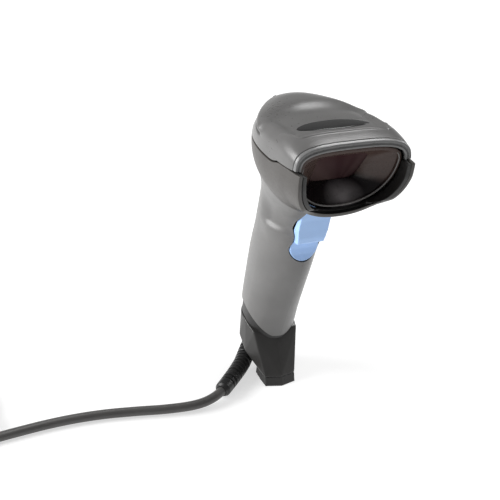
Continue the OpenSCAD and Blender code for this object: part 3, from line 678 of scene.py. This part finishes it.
HALF_W = 33.0
HEAD_TOP = 163.5
HEAD_FRONT = 42.0
HEAD_REAR = 33.5
DOME_START = -12.0
WALL = 2.0
SEAM = 0.35
WIDE = [(-HEAD_FRONT, HALF_W - 1.3), (-36, HALF_W - 0.4), (-28, HALF_W), (DOME_START, HALF_W - 0.4),
        (40, HALF_W - 1)]
CROWN = [(-HEAD_FRONT, HEAD_TOP - 2.3), (-34, HEAD_TOP - 0.9), (-24, HEAD_TOP),
         (DOME_START, HEAD_TOP - 1), (10, HEAD_TOP - 2.1), (40, HEAD_TOP - 3)]
BELLY = [(-HEAD_FRONT, 119.5), (-36, 118.5), (-26, 115), (DOME_START, 112), (40, 113)]
WAIST = [(-HEAD_FRONT, 148.5), (DOME_START, 147.5), (10, 144.2), (40, 138.2)]
CROWN_POWER = [(-HEAD_FRONT, 3.7), (DOME_START, 3.1), (20, 2), (40, 2.6)]
BELLY_POWER = [(-HEAD_FRONT, 2.2), (DOME_START, 2.2), (40, 1.9)]
SEAM_ANGLE = [(-HEAD_FRONT, 10), (-34, 5), (-26, 1), (-20, -3), (-12, -4), (10, -2), (40, 0)]
SEAM_GAP = math.degrees(SEAM / HALF_W)
LIP = [(118, 1.6), (124, 1.6), (126.5, 3.2), (130, 5.7), (142, 5.9), (146, 5.1), (151, 4)]
LIP_DEPTH = 9.0
DISH_DEPTH = 2.6
BEZEL_DEPTH = 2.2


def head_point(angle, u, t=0.0):
    """Points of the head's surface, sunk by t. angle goes round the section from +X over the
    top, and u goes from -1 at the mouth, through 0, to 1 at the back."""
    angle, u, t = np.broadcast_arrays(*(np.asarray(a, float) for a in (angle, u, t)))
    front = u < 0
    bend = np.clip(u, 0, 1) * 90
    v = np.where(front, DOME_START + u * (HEAD_FRONT + DOME_START),
                 DOME_START + (HEAD_REAR - t - DOME_START) * sin(bend))
    narrow = np.where(front, 1, cos(bend))
    low = np.where(front, 1, np.maximum(0, 1 - sin(bend) ** 2.8) ** (1 / 2.8))
    waist = curve(v, WAIST)
    up = sin(angle) >= 0
    power = np.where(up, curve(v, CROWN_POWER), curve(v, BELLY_POWER))
    high = low * np.where(up, curve(v, CROWN) - waist - t, waist - curve(v, BELLY) - t)
    wide = narrow * (curve(v, WIDE) - t)
    r = reach(angle, power)
    x = wide * r * cos(angle)
    z = waist + high * r * sin(angle)
    lean = np.where(z < 150, 0.2 * (150 - z), 0.15 * (z - 150)) - 1.2 * (x / HALF_W) ** 2 + 2
    return np.stack([x, v + np.where(front, u * u, 0) * lean, z], -1)


def head_v(u):
    return np.where(u < 0, DOME_START + u * (HEAD_FRONT + DOME_START),
                    DOME_START + (HEAD_REAR - DOME_START) * sin(90 * np.clip(u, 0, 1)))


def head_u(v):
    return (v - DOME_START) / (HEAD_FRONT + DOME_START)


def seam_at(u):
    return curve(head_v(u), SEAM_ANGLE)


def head_rows(front_u, low, high, step):
    """Places along the head: even in front, closer towards the back, and step millimetres apart
    from low to high."""
    front = np.linspace(front_u, 0, 40)
    extra = head_u(np.arange(low, high, step))
    rear = 1 - (1 - np.linspace(0, 1, 60)[1:]) ** 1.6
    return np.unique(np.round(np.concatenate([front, extra, rear]), 3))


def dish(x, y):
    """How far the dish sinks the top: a crisp front edge, soft sides and a long slope behind."""
    front_edge = -28.6 + 11 * ease((np.abs(x) - 23) / 7)
    front = ease((y - front_edge) / 1.6)
    side = ease((28.5 - np.abs(x)) / 7)
    rear = ease((9 - y) / 10)
    ridge = 0.45 * np.exp(-(((y - front_edge + 0.4) / 0.6) ** 2)) * ease((30.5 - np.abs(x)) / 3)
    return DISH_DEPTH * front * side * rear - ridge


GROOVE_Z = 151.0
GROOVE_WIDE = 0.9


def add_top_cover(material):
    """The domed cover: its dish, and the line on each side where the cap overhangs the flank."""
    u = head_rows(head_u(-HEAD_FRONT + BEZEL_DEPTH + SEAM), -33, -16, 0.3)
    low_side = 26
    groove_side = np.linspace(-1.6, 1.6, 15)
    rows = []
    for place in u:
        start = float(seam_at(place))
        dense = np.linspace(start, 90, 600)
        z = head_point(dense, place)[:, 2]
        groove = start + 0.4 * (90 - start)
        if z[-1] > GROOVE_Z + 3:
            groove = float(np.interp(GROOVE_Z, z, dense))
        span = max(3.0, float(z[-1] - z[0]))
        step = 90 / max(span, 30) * groove_side * 0.45
        below = np.linspace(start, max(groove + step[0], start + 0.5), low_side)[:-1]
        above = np.linspace(max(groove + step[-1], start + 1.5), 90, 60)[1:]
        middle = np.linspace(below[-1], above[0], len(groove_side) + 2)[1:-1]
        half = np.concatenate([below, middle, above])
        rows.append(np.concatenate([half, 180 - half[-2::-1]]))
    angles = np.array(rows)
    outer = head_point(angles, u[:, None])
    inner = head_point(angles, u[:, None], WALL)
    normal = outward_normals(outer, (0, -5, 140))
    y, z = outer[..., 1], outer[..., 2]
    along = ease((y + 3.5) / 5)
    away = z - GROOVE_Z
    cut = -1.7 * np.exp(-(away / GROOVE_WIDE) ** 2) * along
    brow = 2.0 * ease(away / 0.6) * ease((10 - away) / 10) * along * (away > 0)
    rise = 0.5 * ease((y - 4) / 8) * ease((z - 154) / 5)
    outer = outer + normal * (cut + brow + rise)[..., None]
    for grid in (outer, inner):
        top = grid[..., 2] > 150
        grid[..., 2] -= np.where(top, dish(grid[..., 0], grid[..., 1]), 0)
    cover = round_edges(add_mesh("cover_top", *wall(outer, inner)), 0.3, 50)
    return finish_piece(cover, material, ("top_cover",), sharp=40)


def trim_grid(profile, angles):
    """Rings of points: each angle of the mouth's upper arch carries the profile of (v, t)."""
    profile = np.array(profile, float)
    return head_point(angles[:, None], head_u(profile[None, :, 0]), profile[None, :, 1])


def add_bezel(material):
    """The bright arch over the mouth: an outer face, a fine step and a raised inner lip."""
    start = float(seam_at(-1.0))
    angles = np.linspace(start, 180 - start, 240)
    back = BEZEL_DEPTH - HEAD_FRONT
    profile = [(back, 0.1), (-40.2, -0.1), (-41.5, -0.1), (-41.9, 0.05), (-42, 0.4), (-42, 1.1),
               (-41.6, 1.35), (-41.3, 1.7), (-41.5, 2.0), (-42, 2.2), (-42, 2.8), (-41.8, 3.1),
               (-41.4, 3.2), (back, 3.2)]
    bezel = add_mesh("bezel_trim", *loft(trim_grid(profile, angles)))
    return finish_piece(bezel, material, ("window_bezel",))


def lower_grid(u, columns, t, gap, shift=(0.0, 0.0)):
    """The lower part of the head, from the left seam round the belly to the right one, with the
    lip that stands ahead of the mouth."""
    u = np.asarray(u, float)[:, None]
    half = seam_at(u) - gap
    angles = 180 - half + (180 + 2 * half) * np.linspace(0, 1, columns)[None, :]
    grid = head_point(angles, u, t)
    z = grid[..., 2]
    cheek = ease((z - 124) / 5)
    mouth = ease((head_v(u) + HEAD_FRONT - 1.0) / -1.0)
    ahead = curve(z, LIP) * ease((DOME_START + 30 * u - LIP_DEPTH + HEAD_FRONT) / -LIP_DEPTH)
    ahead = ahead + mouth * (shift[0] * cheek + shift[1] * (1 - cheek))
    grid[..., 1] -= np.where(u < 0, ahead, 0)
    return grid


# The opening from the head into the handle, in x and y.
NECK_OPENING = [(7, 22), (-7, 22), (-13, 14), (-14, -15), (-9.3, -18.8), (9.3, -18.8), (14, -15),
                (13, 14)]


def add_lower_shell(material):
    u = head_rows(-1.0, -42, -32, 0.5)
    outer, inner = (lower_grid(u, 200, t, 2.6 * SEAM_GAP) for t in (0.0, WALL))
    shell = add_mesh("shell_lower", *wall(outer, inner))
    combine(shell, [add_prism("way", NECK_OPENING, 2, 105, 125)], "DIFFERENCE")
    round_edges(shell, 0.35, 50)
    return finish_piece(shell, material, ("lower_shell",), sharp=40)


def add_lining(material):
    u = head_u(np.linspace(-42, -37, 18))
    grids = [lower_grid(u, 240, WALL + t, 2 * SEAM_GAP, (0.3, -2.4)) for t in (0.25, 2.3)]
    lining = round_edges(add_mesh("lining_rubber", *wall(*grids)), 0.5, 50)
    return finish_piece(lining, material, ("nose_bumper",))


WINDOW_FOOT = np.array([-22.0, 132.5])
WINDOW_HEAD = np.array([-31.0, 151.5])
WINDOW_HALF = (12.6, 14.6)


def window_ring(count, grow, back):
    """The window's rounded outline, grown and pushed back."""
    angle = 90 + 360 * np.arange(count) / count
    run = WINDOW_HEAD - WINDOW_FOOT
    length = np.linalg.norm(run)
    run = run / length
    r = reach(angle, 7)
    rise = sin(angle) * r
    half = WINDOW_HALF[0] + (WINDOW_HALF[1] - WINDOW_HALF[0]) * (rise + 1) / 2 + grow
    along = (length / 2 + grow) * rise
    middle = (WINDOW_FOOT + WINDOW_HEAD) / 2
    y = middle[0] + run[0] * along + back * run[1]
    z = middle[1] + run[1] * along - back * run[0]
    return np.stack([half * cos(angle) * r, y, z], 1)


def mouth_ring(count, v, t):
    return head_point(90 + 360 * np.arange(count) / count, head_u(v), t)


def add_shroud(materials):
    """The funnel from the mouth to the window, and a bead round its rim whose pale tone is a painted
    highlight.
    """
    count = 200
    near, neck = -HEAD_FRONT + 2.2, -HEAD_FRONT + 4.4
    mouth = [mouth_ring(count, v, 6.2) for v in np.linspace(near, neck, 4)]
    flange = 4.5 - 0.8 * ease((130 - mouth[0][:, 2]) / 6)
    mouth_out = [mouth_ring(count, v, flange) for v in np.linspace(near, neck, 4)]
    far = window_ring(count, -0.6, -0.2)
    far_out = window_ring(count, 1.0, -0.2)
    # the funnel's wall bows a little on its way back
    shares = [k - 0.1 * np.sin(math.pi * k) for k in np.linspace(0, 1, 14)[1:]]
    inner = np.array(mouth + [mouth[-1] + (far - mouth[-1]) * k for k in shares])
    outer = np.array(mouth_out + [mouth_out[-1] + (far_out - mouth_out[-1]) * k for k in shares])
    funnel = round_edges(add_mesh("shroud_funnel", *wall(outer, inner, loop=True)), 0.25, 50)
    finish_piece(funnel, materials["shroud_black"], ("optics_shroud",))
    # the bead runs from the upper right corner, under the window, to the left side
    bead_path = head_point(np.linspace(35, -195, count), head_u(near + 0.1), 5.7)
    radii = 0.5 * np.sqrt(np.sin(np.linspace(0.02, 0.98, count) * math.pi)) ** 0.4
    bead = add_mesh("shroud_bead", *loft(sweep(bead_path, radii, 20)))
    # the bead's pale tone paints the highlight on the shroud's rim
    finish_piece(bead, materials["rim_painted_highlight"])


def add_window(material):
    rings = [window_ring(128, g, d) for g, d in ((0.9, 0.05), (1.1, 0.2), (1.1, 0.95), (0.9, 1.1))]
    pane = add_mesh("window_pane", *loft(np.array(rings)))
    return finish_piece(pane, material, ("scan_window",))


LENS_CENTRE = (0.0, -17.2)
LENS_HALF = (20.0, 5.4)


def crown_z(x, y):
    """The head's top over a point of the plan, before the dish is sunk."""
    v = head_v(head_u(y - 0.3))
    power = curve(v, CROWN_POWER)
    waist = curve(v, WAIST)
    share = (1 - (np.abs(x) / curve(v, WIDE)) ** power) ** (1 / power)
    return waist + (curve(v, CROWN) - waist) * share


def add_badge(material):
    """The smoked lens in the dish: a blank oval with a soft shoulder."""
    angle = 360 * np.arange(120) / 120
    rings = []
    for size, lift in ((1, -0.4), (1, 0.12), (0.99, 0.2), (0.97, 0.26), (0.93, 0.32), (0.8, 0.42),
                       (0.6, 0.52), (0.4, 0.58), (0.2, 0.6), (0.02, 0.6)):
        x = LENS_CENTRE[0] + size * LENS_HALF[0] * cos(angle)
        y = LENS_CENTRE[1] + size * LENS_HALF[1] * sin(angle)
        rings.append(np.stack([x, y, crown_z(x, y) - DISH_DEPTH + lift], 1))
    badge = add_mesh("badge_lens", *loft(np.array(rings)))
    return finish_piece(badge, material, ("indicator_lens",))


# ---- the handle ----

GRIP_HALF = [(18, 14.6), (58, 14.6), (83, 15.6), (95, 16.8), (105, 17.6), (112, 18.6), (119, 21.2),
             (124, 23.5)]
GRIP_FRONT = [(18, 2.6), (25, 0.9), (40, -2.4), (58, -7), (70, -9.7), (83, -11.6), (95, -14.4),
              (105, -18), (112, -22), (119, -27), (124, -31)]
GRIP_BACK = [(18, 30.6), (30, 32.4), (45, 33.7), (70, 33.2), (95, 27.6), (119, 25), (124, 24.6)]
GRIP_WAIST = [(18, 14), (40, 14), (60, 12), (83, 9.6), (105, 6), (119, 2), (124, 0)]
GRIP_POWER = [(18, 1.7), (60, 1.75), (83, 1.85), (100, 2), (119, 2.3)]
GRIP_REAR_POWER = 2.1
SCREWS = [(15, 108), (19, 70), (9, 46)]
TRIGGER_PIVOT = (-12.0, 116.0)
TRIGGER_GAP = 0.5
NUB_CENTRE = 86.9
NUB_R = 8.0
PAD_HALF = 8.6


def grip_point(angle, z, t=0.0):
    """Points of the handle's surface, sunk by t. angle is -90 at the front and 90 at the back."""
    waist = curve(z, GRIP_WAIST)
    ahead = sin(angle) < 0
    power = np.where(ahead, curve(z, GRIP_POWER), GRIP_REAR_POWER)
    deep = np.where(ahead, waist - curve(z, GRIP_FRONT), curve(z, GRIP_BACK) - waist) - t
    r = reach(angle, power)
    x = (curve(z, GRIP_HALF) - t) * r * cos(angle)
    return np.stack(np.broadcast_arrays(x, waist + deep * r * sin(angle), z), -1)


def grip_x(y, z):
    """Half the handle's width at a place across it."""
    waist = curve(z, GRIP_WAIST)
    power = np.where(y < waist, curve(z, GRIP_POWER), GRIP_REAR_POWER)
    deep = np.where(y < waist, waist - curve(z, GRIP_FRONT), curve(z, GRIP_BACK) - waist)
    return curve(z, GRIP_HALF) * np.maximum(0, 1 - (np.abs(y - waist) / deep) ** power) ** (1 / power)


def climb(angle):
    """How far the handle's lower edge has climbed, from its toe round to the back."""
    return sin(90 * np.clip((grip_point(angle, 28.0)[..., 1] - 1) / 18, 0, 1))


def belly_z(x, y):
    """The head's underside over a point of the plan."""
    ahead = y < DOME_START
    v = np.where(ahead, y - 8 * ((y - DOME_START) / 30) ** 2, y)
    s = np.where(ahead, 0, (y - DOME_START) / (HEAD_REAR - DOME_START))
    power = curve(v, BELLY_POWER)
    waist = curve(v, WAIST)
    wide = curve(v, WIDE) * np.sqrt(1 - s * s)
    high = (waist - curve(v, BELLY)) * (1 - np.abs(s) ** 2.8) ** (1 / 2.8)
    return waist - high * np.maximum(0, 1 - (np.abs(x) / wide) ** power) ** (1 / power)


def grip_top(angle, t):
    """Where the handle's surface, sunk by t, meets the head, found by stepping up to it."""
    z = np.full(np.shape(angle), 114.0)
    for _ in range(5):
        p = grip_point(angle, z, t)
        z = belly_z(p[..., 0], p[..., 1])
    return z


def trigger_outline(grow, top):
    """The trigger's outline seen from the front: a pad that narrows to a round nub."""
    turn = np.linspace(160, 380, 40)
    nub = [((NUB_R + grow) * cos(q), NUB_CENTRE + (NUB_R + grow) * sin(q)) for q in turn]
    left = [(PAD_HALF + grow, top), (-PAD_HALF - grow, top), (-PAD_HALF - grow, 100), (-7.6 - grow, 93)]
    return left + nub + [(7.6 + grow, 93), (PAD_HALF + grow, 100)]


def add_handle(side, material):
    """One half of the handle, with the finger scallop beside the trigger."""
    angle = np.linspace(-90, 90, 110)[None, :]
    foot = 25.2 + 12.8 * climb(angle)
    share = np.linspace(0, 1, 150)[:, None]
    outer, inner = (
        grip_point(angle, foot + (grip_top(angle, t) - SEAM - foot) * share, t) for t in (0, WALL)
    )
    normal = outward_normals(outer, (0, 8, 70))
    y, height = outer[..., 1], outer[..., 2]
    beside = ease((outer[..., 0] - 6) / 5)
    scallop = ease((height - 94.5) / 4) * ease((113 - height) / 11) * ease((11 - y) / 10) * beside
    ledge = ease((height - 84) / 9) * ease((98 - height) / 4) * ease((11 - y) / 9) * beside
    outer = outer + normal * (0.55 * ledge - 1.9 * scallop)[..., None]
    for grid in (outer, inner):
        grid[..., 0] *= side
    name = "right" if side > 0 else "left"
    half = round_edges(add_mesh("grip_" + name, *wall(outer, inner)), 0.1, 50)
    if side > 0:
        bosses = []
        for y, z in SCREWS:
            far = float(grip_x(y + (3.2 if y > 10 else -3.2), z)) - 0.8
            bosses.append(add_rod("boss", 3.2, (0.2, y, z), (far, y, z)))
        combine(half, bosses, "UNION")
    cuts = [add_prism("opening", trigger_outline(TRIGGER_GAP, 130), 1, -44, -4)]
    if side > 0:
        for y, z in SCREWS:
            seat = float(grip_x(y, z)) - 3.4
            cuts.append(add_rod("bore", 1.4, (-1, y, z), (20, y, z)))
            cuts.append(add_rod("seat", 2.8, (seat, y, z), (25, y, z)))
    combine(half, cuts, "DIFFERENCE")
    return finish_piece(half, material, ("handle_" + name,), sharp=40)


PAD_PROFILE = [(-17.2, 113), (-16, 106), (-15.5, 100), (-15.3, 95.5), (-14.8, 92.6), (-14.2, 91.8),
               (-10.6, 91.2), (-8, 92.4), (-10, 98), (-12, 104), (-13.2, 113)]
NUB_PROFILE = [(-10.8, 93), (-9.6, 89.5), (-9.3, 86), (-9.6, 82.5), (-10.5, 78.9), (-8.2, 78.7),
               (-7, 83), (-6.9, 93)]
SWITCH_Z = TRIGGER_PIVOT[1] - 16
PLUNGER_GAP_Y = 1.52


def add_trigger(material):
    """The trigger: a finger pad over a round nub, its hub on the pin and a rib to the switch."""
    pad = add_prism("trigger_lever", PAD_PROFILE, 0, -12, 12)
    front = add_prism("front", trigger_outline(0, 119), 1, -30, 0)
    combine(pad, [front], "INTERSECT")
    nub = add_prism("nub", NUB_PROFILE, 0, -12, 12)
    turn = np.linspace(0, 360, 65)[:-1]
    disc = [(NUB_R * cos(q), NUB_CENTRE + NUB_R * sin(q)) for q in turn]
    combine(nub, [add_prism("disc", disc, 1, -30, 0)], "INTERSECT")
    y, z = TRIGGER_PIVOT
    arm = add_prism("arm", [(-17.2, 112.6), (-12.6, 112.6), (-11, 118.8), (-15, 118.8)], 0, -8.4, 8.4)
    hub = add_rod("hub", 2.8, (-8.4, y, z), (8.4, y, z))
    nose = PLUNGER_GAP_Y - 1
    rib = add_prism("rib", [(-13.5, SWITCH_Z - 5), (-13.5, SWITCH_Z + 6), (nose, SWITCH_Z + 1.5),
                            (nose, SWITCH_Z - 1.5), (-8, SWITCH_Z - 6)], 0, -1.5, 1.5)
    tip = add_rod("tip", 1, (-1.5, nose, SWITCH_Z), (1.5, nose, SWITCH_Z))
    combine(pad, [nub, arm, hub, rib, tip], "UNION")
    combine(pad, [add_rod("bore", 1.05, (-10, y, z), (10, y, z))], "DIFFERENCE")
    soften(pad, 0.28, 7)
    return finish_piece(pad, material, ("trigger",), body="trigger", sharp=60)


# ---- the foot ----

FOOT = [(0, -10.2), (8.7, -8.1), (8.9, -3), (8.2, 5), (5, 10), (-5, 10), (-8.2, 5), (-8.9, -3),
        (-8.7, -8.1)]
PAD_HEIGHT = 4.6
PORT = (0.0, 22.0)
PORT_SIZE = (12.6, 11.4)
BOOT_CORNERS = [(15, 8.4, 13.5), (14.9, 17, 18.5), (9, 27, 22.5), (12.8, 5.8, 26.2)]


def band_ring(count, rise, t):
    """A ring round the handle's foot, its height given by base and rise over the climb."""
    around = -90 + 360 * np.arange(count) / count
    angle = np.where(around > 90, 180 - around, around)
    z = rise[0] + rise[1] * climb(angle)
    ring = grip_point(angle, z, t)
    ring[..., 0] = np.where(around > 90, -ring[..., 0], ring[..., 0])
    return ring


def add_band(material):
    """The recessed band between the handle and the boot: its own charcoal, set darker than the boot's,
    also paints the shade in its recess.
    """
    low, high = (22.22, 7.6), (24.95, 12.8)
    steps = np.linspace(0, 1, 10)
    rises = [(low[0] + (high[0] - low[0]) * k, low[1] + (high[1] - low[1]) * k) for k in steps]
    outer = np.array([band_ring(200, rise, 0.9) for rise in rises])
    inner = np.array([band_ring(200, rise, 2.7) for rise in rises])
    band = round_edges(add_mesh("band_dark", *wall(outer, inner, loop=True)), 0.25, 50)
    return finish_piece(band, material, ("base_ring",))


def foot_outline():
    return [(x * 1.01, y + (1.7 if y < 0 else 0)) for x, y in FOOT]


def add_boot(material):
    points = [tuple(p) for p in band_ring(96, (22.2, 7.6), 0.4)]
    points += [(s * x, y, z) for x, y, z in BOOT_CORNERS for s in (-1, 1)]
    points += [(x, y, PAD_HEIGHT) for x, y in foot_outline()] + [(0, 29.6, 23)]
    boot = add_hull("boot_foot", points)
    combine(boot, [add_box("port", (*PORT_SIZE, 60), (*PORT, 30))], "DIFFERENCE")
    soften(boot, 0.4, 4)
    return finish_piece(boot, material, ("base_boot",), sharp=60)


def add_sole(material):
    points = [(x, y, z) for x, y in FOOT for z in (0, 0.6)]
    points += [(x, y, z) for x, y in foot_outline() for z in (PAD_HEIGHT - 0.61, PAD_HEIGHT - 0.01)]
    sole = soften(add_hull("sole_tread", points), 0.3, 3)
    return finish_piece(sole, material, ("sole_pad",), sharp=60)


# ---- carried-over nodes ----


def repaint_nodes(materials):
    """Give each CAD node that stays a material from the table below, in every slot."""
    painted = {
        "window_gasket": "bumper_rubber", "imager_chassis": "chassis_black",
        "lens_barrel": "chassis_black", "imager_lens": "optical_glass",
        "image_sensor": "sensor_dark", "imager_board": "board_green",
        "illumination_leds": "led_clear", "aiming_led": "led_red",
        "indicator_board": "board_green", "status_led": "led_clear",
        "flex_cable": "flex_amber", "main_board": "board_green",
        "processor_shield": "shield_tin", "beeper": "chassis_black",
        "trigger_switch": "switch_black", "switch_plunger": "plunger_red",
        "trigger_pin": "pin_steel", "handle_screws": "pin_steel",
        "cable_socket": "switch_black", "socket_wires": "wire_red", "modular_plug": "plug_clear",
    }
    for node, name in painted.items():
        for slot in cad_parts[node].material_slots:
            slot.material = materials[name]


# ---- floor and light ----


def add_floor():
    mesh = bpy.data.meshes.new("floor")
    half = 6.0
    corners = [(-half, -half, 0), (half, -half, 0), (half, half, 0), (-half, half, 0)]
    mesh.from_pydata(corners, [], [(0, 1, 2, 3)])
    floor = new_object("floor", mesh)
    n = Nodes("floor_white")
    tone = n.mix(n.noise(n.place(), 0.4), (0.49, 0.49, 0.49, 1), (0.51, 0.51, 0.51, 1))
    n.surface(tone, 0.9, Emission_Color=(1, 1, 1, 1), Emission_Strength=0.6)
    mesh.materials.append(n.material)


def add_light(name, place, size, watts):
    """A soft box that looks at the scanner's middle."""
    data = bpy.data.lights.new(name, "AREA")
    data.shape = "RECTANGLE"
    data.size, data.size_y = size
    data.energy = watts
    light = new_object(name, data)
    light.location = place
    light.rotation_euler = (Vector((0, 0, 0.09)) - Vector(place)).to_track_quat("-Z", "Y").to_euler()


# Each light's name, its place and size in metres, and its watts.
LIGHTS = [
    ("key", (-1.2, 0.5, 0.75), (0.9, 0.9), 28),
    ("top", (0.55, 0.3, 1.1), (0.5, 0.3), 6),
    ("rim", (1.2, 0.35, 0.5), (0.25, 0.9), 6),
]


def add_studio():
    world = bpy.data.worlds.new("studio")
    world.use_nodes = True
    sky = world.node_tree.nodes["Background"]
    sky.inputs["Color"].default_value = (1, 1, 1, 1)
    sky.inputs["Strength"].default_value = 0.22
    bpy.context.scene.world = world
    bpy.context.scene.view_settings.view_transform = "Standard"
    for name, place, size, watts in LIGHTS:
        add_light(name, place, size, watts)


# ---- assembly ----

add_camera()
MATERIALS = make_materials()
lead = add_cord(MATERIALS["cord_jacket"])
relief = add_relief(MATERIALS["relief_black"])
tie = add_tie(MATERIALS["tie_strap"])
plug = add_plug(MATERIALS)
add_top_cover(MATERIALS["housing_grey"])
add_bezel(MATERIALS["bezel_grey"])
add_lower_shell(MATERIALS["collar_grey"])
add_lining(MATERIALS["bumper_rubber"])
add_shroud(MATERIALS)
add_window(MATERIALS["window_red"])
add_badge(MATERIALS["lens_black"])
add_handle(-1, MATERIALS["handle_grey"])
add_handle(1, MATERIALS["handle_grey"])
add_trigger(MATERIALS["trigger_blue"])
add_band(MATERIALS["band_charcoal"])
add_boot(MATERIALS["boot_charcoal"])
add_sole(MATERIALS["sole_rubber"])
repaint_nodes(MATERIALS)
add_floor()
add_studio()
